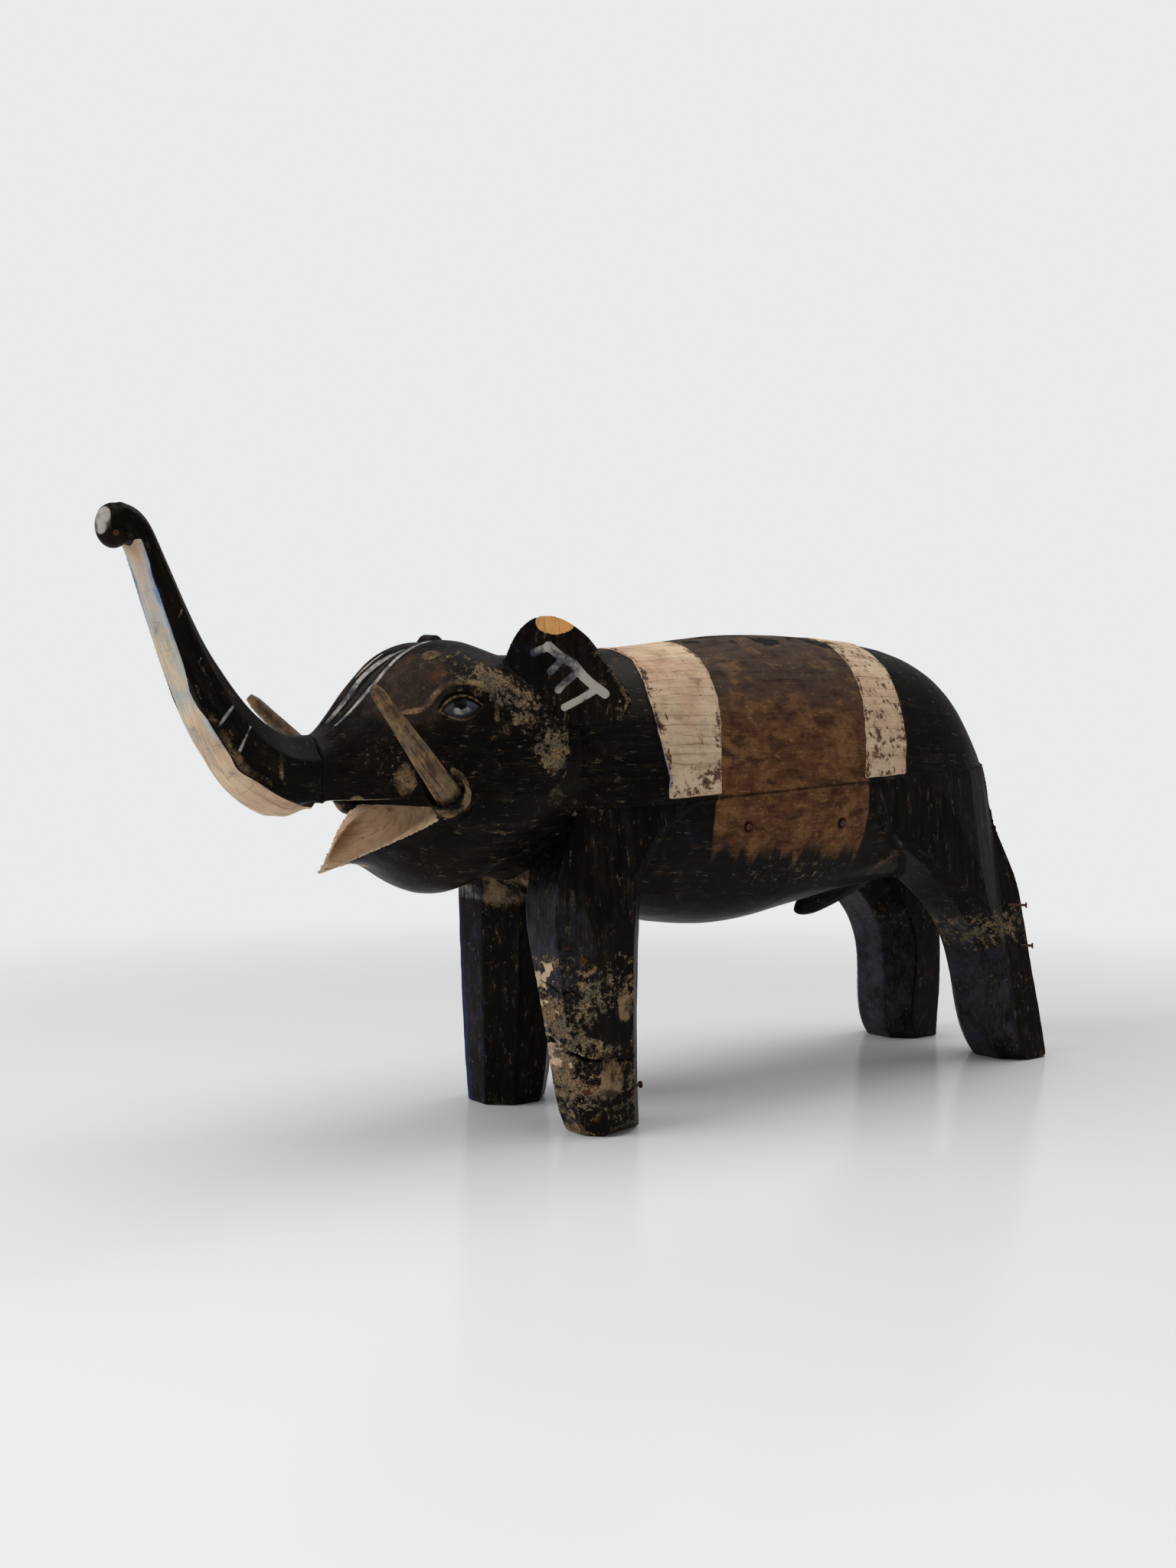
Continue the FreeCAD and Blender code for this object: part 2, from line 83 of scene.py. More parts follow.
def spot(points: Array, centre: tuple, sizes: tuple) -> Array:
    """1 at the centre of an ellipsoid and 0 from its surface outwards."""
    reach = np.linalg.norm((points - np.array(centre)) / np.array(sizes), axis=1)
    return 1.0 - ramp(reach, 0.35, 1.0)


def srgb(red: int, green: int, blue: int) -> Colour:
    """Linear colour of a painter's swatch given from 0 to 255."""
    return tuple((((part / 255.0) + 0.055) / 1.055) ** 2.4 if part > 10 else part / 255.0 / 12.92
                 for part in (red, green, blue))


@dataclass(frozen=True)
class Stroke:
    """A line drawn through points on the figure, such as a crack, a groove or a brush mark."""

    points: tuple

    def distance(self, places: Array) -> tuple[Array, Array]:
        """How far each place is from the stroke, and how far along it.

        Args:
            places: places to measure, with as many coordinates as the stroke's own points.

        Returns:
            Distance from the stroke, and length along the stroke to its nearest point.
        """
        line = np.array(self.points, float)
        best = np.full(len(places), 1e9)
        along = np.zeros(len(places))
        start = 0.0
        for first, last in zip(line[:-1], line[1:]):
            way = last - first
            length = np.linalg.norm(way)
            part = np.clip((places - first) @ way / length**2, 0.0, 1.0)
            gap = np.linalg.norm(places - first - part[:, None] * way, axis=1)
            nearer = gap < best
            best = np.where(nearer, gap, best)
            along = np.where(nearer, start + part * length, along)
            start += length
        return best, along

    def mark(self, places: Array, width: float, soft: float) -> Array:
        """1 on the stroke's width and 0 beyond it, fading over soft."""
        return 1.0 - ramp(self.distance(places)[0], width / 2.0 - soft, width / 2.0 + soft)

    def side(self, places: Array) -> Array:
        """Signed distance from a stroke in a plane, positive to the right of its direction.

        Args:
            places: places in the stroke's plane.

        Returns:
            Distance from the stroke, negative on its left.
        """
        line = np.array(self.points, float)
        best = np.full(len(places), 1e9)
        signed = np.zeros(len(places))
        for first, last in zip(line[:-1], line[1:]):
            way = last - first
            length = np.linalg.norm(way)
            away = places - first
            part = np.clip(away @ way / length**2, 0.0, 1.0)
            gap = np.linalg.norm(away - part[:, None] * way, axis=1)
            turn = way[1] * away[:, 0] - way[0] * away[:, 1]
            nearer = gap < best - 1e-6
            best = np.where(nearer, gap, best)
            signed = np.where(nearer, gap * np.sign(turn), signed)
        return signed

    def rounded(self, steps: int = 8) -> "Stroke":
        """The same stroke as a smooth curve through its points."""
        line = [np.array(point, float) for point in self.points]
        line = [2 * line[0] - line[1], *line, 2 * line[-1] - line[-2]]
        smooth = []
        for a, b, c, d in zip(line, line[1:], line[2:], line[3:]):
            for step in range(steps):
                t = step / steps
                smooth.append(0.5 * (2 * b + (c - a) * t + (2 * a - 5 * b + 4 * c - d) * t**2
                                     + (3 * b - a - 3 * c + d) * t**3))
        return Stroke(tuple(map(tuple, [*smooth, line[-2]])))


@dataclass(frozen=True)
class Noise:
    """Repeatable unevenness on points in millimetres."""

    seed: int

    def chance(self, cell: Array) -> Array:
        """A number from 0 to 1 for each whole-number cell."""
        code = (cell.astype(np.int64) * np.array([73856093, 19349663, 83492791])).sum(1) + self.seed * 7919
        code = ((code ^ (code >> 13)) * 1274126177) & 0xFFFFFFFF
        code = ((code ^ (code >> 16)) * 668265263) & 0xFFFFFFFF
        return ((code ^ (code >> 15)) & 0xFFFFFF) / float(0xFFFFFF)

    def smooth(self, points: Array, size: float | tuple) -> Array:
        """Smooth noise from 0 to 1 with bumps of the given size."""
        scaled = points / np.array(size)
        cell = np.floor(scaled)
        part = scaled - cell
        part = part * part * (3.0 - 2.0 * part)
        total = np.zeros(len(points))
        for corner in np.ndindex(2, 2, 2):
            weight = np.prod(np.where(corner, part, 1.0 - part), axis=1)
            total += weight * self.chance(cell + corner)
        return total

    def rough(self, points: Array, size: float | tuple, octaves: int = 4) -> Array:
        """Noise from 0 to 1 with ever finer bumps added."""
        total, share = np.zeros(len(points)), 0.0
        for octave in range(octaves):
            weight = 0.55**octave
            total += weight * Noise(self.seed + octave).smooth(points, np.array(size) / 2.0**octave)
            share += weight
        return total / share

    def scoops(self, points: Array, size: tuple) -> Array:
        """Depth from 0 to 1 of gouge cuts that overlap like scales.

        Args:
            points: places in millimetres.
            size: spacing of the cuts along each axis.

        Returns:
            1 in the middle of a cut and 0 on the ridge between cuts.
        """
        scaled = points / np.array(size)
        cell = np.floor(scaled)
        nearest = np.full(len(points), 9.0)
        for step in np.ndindex(3, 3, 3):
            near = cell + np.array(step) - 1
            centre = near + np.stack([Noise(self.seed + axis).chance(near) for axis in range(3)], axis=1)
            nearest = np.minimum(nearest, ((scaled - centre) ** 2).sum(1))
        return 1.0 - np.clip(nearest, 0.0, 1.0)


def girth(points: Array, middle: tuple, radius: float) -> Array:
    """Coordinates that follow a block of wood lying along Y.

    Args:
        points: places in millimetres.
        middle: X and Z of the block's axis.
        radius: typical radius of the block.

    Returns:
        Distance from the axis, length round the girth from the top, and place along the axis.
    """
    away = points[:, (0, 2)] - np.array(middle)
    around = np.arctan2(away[:, 0], away[:, 1]) * radius
    return np.stack([np.hypot(*away.T), around, points[:, 1]], axis=1)


# ------------------------------------------------------------------ carving
class Layer(Enum):
    """Paint and wear that a piece can carry, from 0 for none to 1 for full."""

    CREAM = "cream"            # cream ground with fine cracks
    UMBER = "umber"            # brown coat of the saddle cloth; on the forehead partly painted sheen
    WARM = "warm"              # how far the brown is rubbed to ochre and rust
    FLAKED = "flaked"          # black coat lost in flakes; on the forehead partly painted sheen
    NAVY = "navy"              # dark blue coat; on the legs' fronts partly painted light
    SLATE = "slate"            # blue coat rubbed to grey
    SKY = "sky"                # light blue wash
    PALE_AND_HIGHLIGHT = "pale"              # pale grey brush strokes, and painted highlights on the trunk's tip and in the eyes
    TAN = "tan"                # carved edges rubbed to the wood
    FRESH = "fresh"            # newly broken wood
    GRIME_AND_SHADE = "grime_and_shade"              # brown grime, and painted shade in the mouth and under the trunk
    RUST = "rust"              # red-brown chips
    GREEN = "green"            # greenish black coat
    CHIPPED = "chipped"        # cream lost in brown chips
    DARK = "dark"              # cracks, nail holes, the pupil, and painted shade in the tusk sockets and at the tusk roots


@dataclass(frozen=True)
class Patch:
    """A soft-edged patch of one layer, such as a rubbed spot or a chip."""

    layer: Layer
    centre: tuple
    sizes: tuple
    amount: float = 1.0


class Carving:
    """A piece being worked: a copy of one CAD solid on an even grid, with its paint layers."""

    SWELL = 0.4             # how far a joint face stands out, in grid spacings
    TOUCHING = (0.4, 1.4)   # gaps from which the swelling fades, and where it has gone

    def __init__(self, node: str, grid: float) -> None:
        """Copy a CAD solid and give it an even grid.

        Args:
            node: name of the CAD node.
            grid: spacing of the grid in millimetres.
        """
        self.node = node
        self.layers: dict[Layer, Array] = {}
        self.grain: Array | None = None
        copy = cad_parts[node].data.copy()
        copy.materials.clear()
        work = bmesh.new()
        work.from_mesh(copy)
        bmesh.ops.remove_doubles(work, verts=work.verts, dist=1e-6)
        work.to_mesh(copy)
        work.free()
        blank = bpy.data.objects.new(f"{node}_blank", copy)
        bpy.context.scene.collection.objects.link(blank)
        even = blank.modifiers.new("even grid", "REMESH")
        even.mode = "VOXEL"
        even.voxel_size = grid * MM
        ready = blank.evaluated_get(bpy.context.evaluated_depsgraph_get())
        self.mesh = bpy.data.meshes.new_from_object(ready)
        bpy.data.objects.remove(blank)
        bpy.data.meshes.remove(copy)
        self.free = self.clearance()
        self.sink(-self.SWELL * grid * (1.0 - ramp(self.free, *self.TOUCHING)))

    def clearance(self) -> Array:
        """Distance from each point to the nearest other block, up to the reach of a joint."""
        places = self.points * MM + (0.0, FEET_Y, 0.0)
        free = np.full(len(places), JOINT_REACH)
        for node in BLOCKS:
            if node == self.node:
                continue
            low, high = (np.array(corner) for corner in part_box(node))
            reach = JOINT_REACH * MM
            close = np.flatnonzero(((places > low - reach) & (places < high + reach)).all(axis=1))
            if not len(close):
                continue
            work = bmesh.new()
            work.from_mesh(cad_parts[node].data)
            tree = BVHTree.FromBMesh(work)
            work.free()
            for index in close:
                gap = tree.find_nearest(places[index], reach)[3]
                if gap is not None:
                    free[index] = min(free[index], gap / MM)
        return free

    @property
    def points(self) -> Array:
        """Points in millimetres from the line between the front feet."""
        flat = np.empty(len(self.mesh.vertices) * 3, np.float32)
        self.mesh.vertices.foreach_get("co", flat)
        return (flat.reshape(-1, 3).astype(float) - (0.0, FEET_Y, 0.0)) / MM

    @points.setter
    def points(self, places: Array) -> None:
        """Move the points."""
        self.mesh.vertices.foreach_set("co", (places * MM + (0.0, FEET_Y, 0.0)).astype(np.float32).ravel())
        self.mesh.update()

    @property
    def left(self) -> Array:
        """The points with those of the right half folded onto the left."""
        return folded(self.points)

    @property
    def normals(self) -> Array:
        """Unit normals of the points."""
        flat = np.empty(len(self.mesh.vertices) * 3, np.float32)
        self.mesh.vertices.foreach_get("normal", flat)
        return flat.reshape(-1, 3).astype(float)

    def sink(self, depth: Array) -> None:
        """Cut inwards by a depth in millimetres."""
        self.points = self.points - self.normals * depth[:, None]

    def dress(self, depth: Array) -> None:
        """Cut inwards by a depth in millimetres, but leave the edges of the joints tight."""
        self.sink(depth * ramp(self.free, 0.2, JOINT_REACH))

    def refine(self, chosen: Callable[[Array], Array], rounds: int = 1) -> None:
        """Halve the grid where a test on the points is true, as many times as told."""
        for _ in range(rounds):
            wanted = chosen(self.points)
            work = bmesh.new()
            work.from_mesh(self.mesh)
            edges = [edge for edge in work.edges if all(wanted[vert.index] for vert in edge.verts)]
            bmesh.ops.subdivide_edges(work, edges=edges, cuts=1, use_grid_fill=True)
            work.to_mesh(self.mesh)
            work.free()
        self.free = self.clearance()

    def soften(self, chosen: Callable[[Array], Array], rounds: int) -> None:
        """Rub the arrises down where a test on the points is true, as many times as told."""
        wanted = chosen(self.points)
        work = bmesh.new()
        work.from_mesh(self.mesh)
        verts = [vert for vert in work.verts if wanted[vert.index]]
        for _ in range(rounds):
            bmesh.ops.smooth_vert(work, verts=verts, factor=0.5,
                                  use_axis_x=True, use_axis_y=True, use_axis_z=True)
        work.to_mesh(self.mesh)
        work.free()

    def paint(self, layer: Layer, amount: Array) -> None:
        """Add a layer where it is stronger than what is already there."""
        self.layers[layer] = np.maximum(self.layers.get(layer, np.zeros(len(amount))), amount)

    def dab(self, points: Array, patches: tuple) -> None:
        """Add soft-edged patches of paint or wear.

        Args:
            points: the piece's points, folded or not, that the patches are laid out on.
            patches: the patches.
        """
        for patch in patches:
            self.paint(patch.layer, spot(points, patch.centre, patch.sizes) * patch.amount)

    def finish(self, name: str, finish: bpy.types.Material, slot: str) -> bpy.types.Object:
        """Store the layers on the mesh and put the piece on the figure.

        Args:
            name: name of the finished piece.
            finish: its material.
            slot: the record's material slot; not used.

        Returns:
            The finished object.
        """
        for layer, amount in self.layers.items():
            stored = self.mesh.attributes.new(layer.value, "FLOAT", "POINT")
            stored.data.foreach_set("value", amount.astype(np.float32))
        grain = self.points if self.grain is None else self.grain
        stored = self.mesh.attributes.new("grain", "FLOAT_VECTOR", "POINT")
        stored.data.foreach_set("vector", grain.astype(np.float32).ravel())
        self.mesh.name = name
        self.mesh.materials.clear()
        self.mesh.materials.append(finish)
        self.mesh.polygons.foreach_set("use_smooth", np.ones(len(self.mesh.polygons), bool))
        piece = bpy.data.objects.new(name, self.mesh)
        bpy.context.scene.collection.objects.link(piece)
        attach(piece, "root")
        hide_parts(self.node)
        log.info("%s: %d faces", name, len(self.mesh.polygons))
        return piece


# ------------------------------------------------------------------ shader bench
class Value:
    """A number that varies over the surface, used in sums like a plain number."""

    def __init__(self, bench: "Bench", socket: bpy.types.NodeSocket) -> None:
        """Wrap a socket of a bench."""
        self.bench = bench
        self.socket = socket

    def __add__(self, other: "Value | float") -> "Value":
        """Sum."""
        return self.bench.math("ADD", self, other)

    def __sub__(self, other: "Value | float") -> "Value":
        """Difference."""
        return self.bench.math("SUBTRACT", self, other)

    def __rsub__(self, other: float) -> "Value":
        """Difference from a plain number."""
        return self.bench.math("SUBTRACT", other, self)

    def __mul__(self, other: "Value | float") -> "Value":
        """Product."""
        return self.bench.math("MULTIPLY", self, other)

    __radd__ = __add__
    __rmul__ = __mul__

    def above(self, edge: float, soft: float) -> "Value":
        """Smooth step that reaches 1 once the value is soft above the edge."""
        settings = {"interpolation_type": "SMOOTHSTEP"}
        inputs = {"Value": self, "From Min": edge - soft, "From Max": edge + soft}
        return Value(self.bench, self.bench.node("ShaderNodeMapRange", settings, inputs).outputs[0])

    def most(self, other: "Value | float") -> "Value":
        """The larger of two."""
        return self.bench.math("MAXIMUM", self, other)


class Bench:
    """One material and the nodes that are put together on it."""

    def __init__(self, name: str) -> None:
        """Start an empty material."""
        self.material = bpy.data.materials.new(name)
        self.material.use_nodes = True
        self.tree = self.material.node_tree
        self.tree.nodes.clear()
        place = self.node("ShaderNodeTexCoord").outputs["Object"]
        self.place = self.scaled(place, (1 / MM,) * 3)
        self.grain = self.node("ShaderNodeAttribute", {"attribute_name": "grain"}).outputs["Vector"]

    def node(self, kind: str, settings: dict | None = None, inputs: dict | None = None) -> bpy.types.Node:
        """Add a node.

        Args:
            kind: the node's type.
            settings: properties of the node, set first.
            inputs: values or links, by the name or number of the input.

        Returns:
            The new node.
        """
        made = self.tree.nodes.new(kind)
        for key, value in (settings or {}).items():
            setattr(made, key, value)
        for key, value in (inputs or {}).items():
            value = value.socket if isinstance(value, Value) else value
            if isinstance(value, bpy.types.NodeSocket):
                self.tree.links.new(value, made.inputs[key])
            else:
                made.inputs[key].default_value = value
        return made

    def math(self, operation: str, first: "Value | float", second: "Value | float") -> Value:
        """One Math node."""
        made = self.node("ShaderNodeMath", {"operation": operation}, {0: first, 1: second})
        return Value(self, made.outputs[0])

    def scaled(self, vector: bpy.types.NodeSocket, factors: tuple) -> bpy.types.NodeSocket:
        """A vector times a factor on each axis."""
        made = self.node("ShaderNodeVectorMath", {"operation": "MULTIPLY"}, {0: vector, 1: factors})
        return made.outputs[0]

    def layer(self, layer: Layer) -> Value:
        """Amount of a paint layer."""
        return Value(self, self.node("ShaderNodeAttribute", {"attribute_name": layer.value}).outputs["Fac"])

    def left_of(self, layer: Layer, soft: float, *uneven: tuple[Value, float]) -> Value:
        """Where a coat is still there, with an edge that noises make ragged.

        Args:
            layer: the coat's layer.
            soft: half width of the edge, as an amount of the layer.
            uneven: noises, each with how far it raises or lowers the amount.

        Returns:
            1 where the coat covers.
        """
        amount = self.layer(layer)
        for noise, share in uneven:
            amount = amount + (noise - 0.5) * share
        return amount.above(0.5, soft)

    def noise(self, vector: bpy.types.NodeSocket, size: tuple | float, detail: float = 4.0,
              rough: float = 0.6, bend: float = 0.0) -> Value:
        """Noise from 0 to 1.

        Args:
            vector: coordinates in millimetres.
            size: size of the bumps in millimetres, alike or by axis.
            detail: number of finer steps.
            rough: strength of the finer steps.
            bend: how far the pattern is distorted.

        Returns:
            The noise value.
        """
        sizes = size if isinstance(size, tuple) else (size,) * 3
        where = self.scaled(vector, tuple(1.0 / part for part in sizes))
        inputs = {"Vector": where, "Scale": 1.0, "Detail": detail, "Roughness": rough, "Distortion": bend}
        return Value(self, self.node("ShaderNodeTexNoise", None, inputs).outputs[0])

    def part(self, vector: bpy.types.NodeSocket, axis: str) -> Value:
        """One coordinate of a vector."""
        return Value(self, self.node("ShaderNodeSeparateXYZ", None, {0: vector}).outputs[axis])

    def lines(self, across: Value, spacing: float) -> Value:
        """Distance from the nearest of many unevenly spaced lines, in spacings.

        Args:
            across: coordinate across the lines, in millimetres.
            spacing: typical distance between two lines.

        Returns:
            0 on a line.
        """
        settings = {"feature": "DISTANCE_TO_EDGE", "voronoi_dimensions": "1D"}
        made = self.node("ShaderNodeTexVoronoi", settings, {"W": across * (1.0 / spacing), "Scale": 1.0})
        return Value(self, made.outputs["Distance"])

    def blend(self, first: object, second: object, amount: Value) -> bpy.types.NodeSocket:
        """Colour that goes from the first to the second as the amount goes from 0 to 1."""
        pair = [(*colour, 1.0) if isinstance(colour, tuple) else colour for colour in (first, second)]
        made = self.node("ShaderNodeMix", {"data_type": "RGBA"}, {0: amount, 6: pair[0], 7: pair[1]})
        return made.outputs[2]

    def shader(self, colour: object, rough: Value, height: Value, depth: float,
               gloss: float) -> bpy.types.NodeSocket:
        """One layer of surface.

        Args:
            colour: base colour.
            rough: roughness.
            height: relief from 0 to 1.
            depth: what a height of 1 stands for, in millimetres.
            gloss: specular level.

        Returns:
            The shader's output.
        """
        settings = {"Height": height, "Distance": depth * MM, "Strength": 1.0}
        relief = self.node("ShaderNodeBump", None, settings)
        inputs = {"Base Color": colour, "Roughness": rough, "Normal": relief.outputs[0],
                  "Specular IOR Level": gloss}
        return self.node("ShaderNodeBsdfPrincipled", None, inputs).outputs[0]

    def close(self, shader: bpy.types.NodeSocket) -> bpy.types.Material:
        """The material, with its shader put out."""
        self.node("ShaderNodeOutputMaterial", None, {"Surface": shader})
        return self.material


# ------------------------------------------------------------------ finishes
@dataclass(frozen=True)
class Unevenness:
    """The noises that all coats of the old paint share."""

    grit: Value
    patch: Value
    broad: Value
    flakes: Value
    scuffs: Value
    tint: Value
    streak: Value
    hair: Value
    bend: Value

    @classmethod
    def on(cls, bench: Bench) -> "Unevenness":
        """Make the noises: some even all round, some drawn out along the grain."""
        place, grain = bench.place, bench.grain
        return cls(
            grit=bench.noise(place, 1.2, 3),
            patch=bench.noise(place, 10.0, 6, 0.65),
            broad=bench.noise(place, 48.0, 3),
            flakes=bench.noise(place, 4.0, 8, 0.76, 0.3),
            scuffs=bench.noise(grain, (2.4, 2.4, 13.0), 5, 0.68, 0.3),
            tint=bench.noise(place, 17.0, 5, 0.7, 0.4),
            streak=bench.noise(grain, (5.0, 5.0, 70.0), 5, 0.65),
            hair=bench.noise(grain, (0.9, 0.9, 55.0), 3, 0.6),
            bend=bench.noise(grain, (14.0, 14.0, 60.0), 3),
        )


@dataclass(frozen=True)
class WornPaint:
    """Old black oil paint on carved wood, with its cream, brown, blue and pale coats worn away."""

    black: Colour = srgb(12, 10, 9)
    brown_black: Colour = srgb(24, 19, 15)
    rubbed: Colour = srgb(66, 52, 40)
    cream: Colour = srgb(214, 189, 158)
    grey_cream: Colour = srgb(178, 152, 123)
    pink: Colour = srgb(196, 152, 128)
    craze: Colour = srgb(108, 86, 64)
    taupe: Colour = srgb(72, 58, 48)
    chestnut: Colour = srgb(92, 61, 41)
    ochre: Colour = srgb(148, 110, 70)
    umber: Colour = srgb(38, 25, 18)
    rust: Colour = srgb(84, 46, 30)
    tan: Colour = srgb(150, 124, 92)
    olive: Colour = srgb(110, 103, 84)
    navy: Colour = srgb(27, 36, 68)
    slate: Colour = srgb(60, 62, 70)
    blue: Colour = srgb(66, 98, 148)
    sky: Colour = srgb(166, 184, 188)
    pale: Colour = srgb(176, 170, 160)
    fresh: Colour = srgb(232, 168, 100)
    green: Colour = srgb(17, 20, 16)
    dark: Colour = srgb(10, 8, 7)
    gloss: float = 0.04
    relief: float = 0.35

    def black_coat(self, bench: Bench, wear: Unevenness) -> bpy.types.NodeSocket:
        """Black, thinned and scuffed along the grain, with greenish, blue and grey coats over it; the blue
        on the legs' fronts is partly painted light.
        """
        streak, patch, hair = wear.streak, wear.patch, wear.hair
        black = bench.blend(self.black, self.brown_black, (streak * 0.6 + wear.broad * 0.4).above(0.5, 0.12))
        rub = (hair * 0.35 + streak * 0.3 + patch * 0.35).above(0.585, 0.06)
        black = bench.blend(black, self.rubbed, rub * 0.5)
        scuffed = (wear.scuffs * 0.7 + patch * 0.3).above(0.6, 0.03)
        worn = bench.blend(self.rubbed, self.tan, wear.grit.above(0.55, 0.08) * 0.6)
        black = bench.blend(black, worn, scuffed * 0.7)
        black = bench.blend(black, self.green, bench.layer(Layer.GREEN) * 0.8)
        black = bench.blend(black, self.navy, bench.left_of(Layer.NAVY, 0.2, (patch, 0.9), (hair, 0.4)))
        return bench.blend(black, self.slate, bench.left_of(Layer.SLATE, 0.3, (wear.tint, 0.9), (hair, 0.5)))

    def bare(self, bench: Bench, wear: Unevenness) -> bpy.types.NodeSocket:
        """Old wood and undercoat where the black has flaked off."""
        wood = bench.blend(self.tan, self.olive, wear.tint.above(0.5, 0.06))
        return bench.blend(wood, self.rubbed, wear.grit.above(0.5, 0.1) * 0.8)

    def cloth(self, bench: Bench, wear: Unevenness) -> bpy.types.NodeSocket:
        """Brown coat of the cloth, rubbed to chestnut and ochre lower down."""
        streak, patch = wear.streak, wear.patch
        warmth = bench.layer(Layer.WARM)
        spots = bench.noise(bench.grain, (9.0, 8.0, 15.0), 8, 0.72, 0.4)
        specks = bench.noise(bench.grain, (2.6, 2.4, 4.5), 4, 0.7)
        clouds = bench.noise(bench.place, 26.0, 4, 0.6)
        brown = bench.blend(self.taupe, self.chestnut, (warmth + (clouds - 0.5) * 0.9).above(0.42, 0.4))
        for colour, where, amount in (
            (self.umber, (streak * 0.6 + patch * 0.4).above(0.57, 0.06), 0.6),
            (self.ochre, (spots * 0.65 + clouds * 0.35 + warmth * 0.06).above(0.58, 0.06), 0.42),
            (self.ochre, (specks * 0.7 + spots * 0.3 + warmth * 0.05).above(0.63, 0.03), 0.6),
            (self.rust, (patch * 0.6 + spots * 0.4 + warmth * 0.06).above(0.6, 0.05), 0.65),
            (self.umber, (1.0 - spots).above(0.58, 0.07), 0.6),
        ):
            brown = bench.blend(brown, colour, where * amount)
        level = bench.lines(bench.part(bench.grain, "Y") + clouds * 8.0, 5.5)
        faint = (1.0 - level.above(0.03, 0.028)) * streak.above(0.5, 0.08)
        return bench.blend(brown, self.umber, faint * 0.6)

    def cream_coat(self, bench: Bench, wear: Unevenness) -> tuple[bpy.types.NodeSocket, Value]:
        """Cream ground, checked along the grain, chipped, washed with blue, and darkened by grime and by
        painted shade.

        Args:
            bench: the material being made.
            wear: its noises.

        Returns:
            The colour, and 1 in the fine cracks.
        """
        streak, patch, tint = wear.streak, wear.patch, wear.tint
        light = bench.blend(self.cream, self.grey_cream, (tint * 0.5 + streak * 0.5).above(0.52, 0.1))
        light = bench.blend(light, self.pink, wear.broad.above(0.56, 0.1) * 0.5)
        girth_lines = bench.lines(bench.part(bench.grain, "Y") + wear.bend * 9.0, 6.5)
        cross_lines = bench.lines(bench.part(bench.grain, "Z") + wear.bend * 9.0, 15.0)
        split = (1.0 - girth_lines.above(0.02, 0.018)) * (streak * 0.6 + patch * 0.4).above(0.47, 0.07)
        craze = (1.0 - cross_lines.above(0.009, 0.008)) * patch.above(0.52, 0.06)
        chips = (wear.flakes * 0.55 + patch * 0.45 + bench.layer(Layer.CHIPPED) * 0.12).above(0.62, 0.02)
        for colour, where, amount in (
            (self.craze, split.most(craze * 0.7), 0.8),
            (bench.blend(self.rust, self.umber, tint.above(0.5, 0.1)), chips, 0.9),
            (self.chestnut, (tint * 0.6 + patch * 0.4).above(0.6, 0.06), 0.4),
            (self.umber, (tint * 0.5 + patch * 0.5).above(0.64, 0.03), 0.8),
            (self.sky, bench.left_of(Layer.SKY, 0.2, (tint, 0.9)), 0.8),
            (self.blue, bench.left_of(Layer.NAVY, 0.18, (tint, 0.8)), 0.75),
        ):
            light = bench.blend(light, colour, where * amount)
        grime_and_shade = bench.left_of(Layer.GRIME_AND_SHADE, 0.25, (tint, 0.6), (streak, 0.4))
        light = bench.blend(light, bench.blend(self.chestnut, self.umber, patch.above(0.5, 0.1)), grime_and_shade)
        return light, split.most(craze)

    def make(self) -> bpy.types.Material:
        """Build the material."""
        bench = Bench("worn_paint")
        wear = Unevenness.on(bench)
        streak, patch, hair, tint, grit = wear.streak, wear.patch, wear.hair, wear.tint, wear.grit

        # coats, from the lowest to the last
        flaked = (wear.flakes + bench.layer(Layer.FLAKED) * 0.23).above(0.72, 0.018)
        umber = bench.left_of(Layer.UMBER, 0.2, (patch, 0.5), (hair, 0.25))
        cream = bench.left_of(Layer.CREAM, 0.03, (patch, 0.3), (grit, 0.12))
        light, checks = self.cream_coat(bench, wear)
        colour = bench.blend(self.black_coat(bench, wear), self.bare(bench, wear), flaked * 0.9)
        colour = bench.blend(colour, self.cloth(bench, wear), umber)
        colour = bench.blend(colour, light, cream)

        # brush strokes, losses, painted highlights and painted shade on top
        edge = bench.left_of(Layer.TAN, 0.16, (patch, 0.8), (grit, 0.5))
        for new, where in (
            (bench.blend(self.pale, self.slate, tint.above(0.52, 0.1)),
             bench.left_of(Layer.PALE_AND_HIGHLIGHT, 0.16, (patch, 0.3), (hair, 0.35))),
            (bench.blend(self.tan, self.rubbed, tint.above(0.5, 0.1)), edge * 0.85),
            (self.rust, bench.left_of(Layer.RUST, 0.08, (patch, 0.6))),
            (bench.blend(self.fresh, self.tan, hair.above(0.55, 0.08) * 0.6),
             bench.left_of(Layer.FRESH, 0.06)),
            (self.dark, bench.left_of(Layer.DARK, 0.3)),
        ):
            colour = bench.blend(colour, new, where)

        dry = cream.most(flaked).most(edge).most(umber * 0.8)
        rough = 0.38 + dry * 0.28 + (grit - 0.5) * 0.16 + (streak - 0.5) * 0.2
        height = cream * (1.0 - checks) * 0.35 + (1.0 - flaked) * 0.3 + hair * 0.3 + grit * 0.12
        return bench.close(bench.shader(colour, rough, height, self.relief, self.gloss))


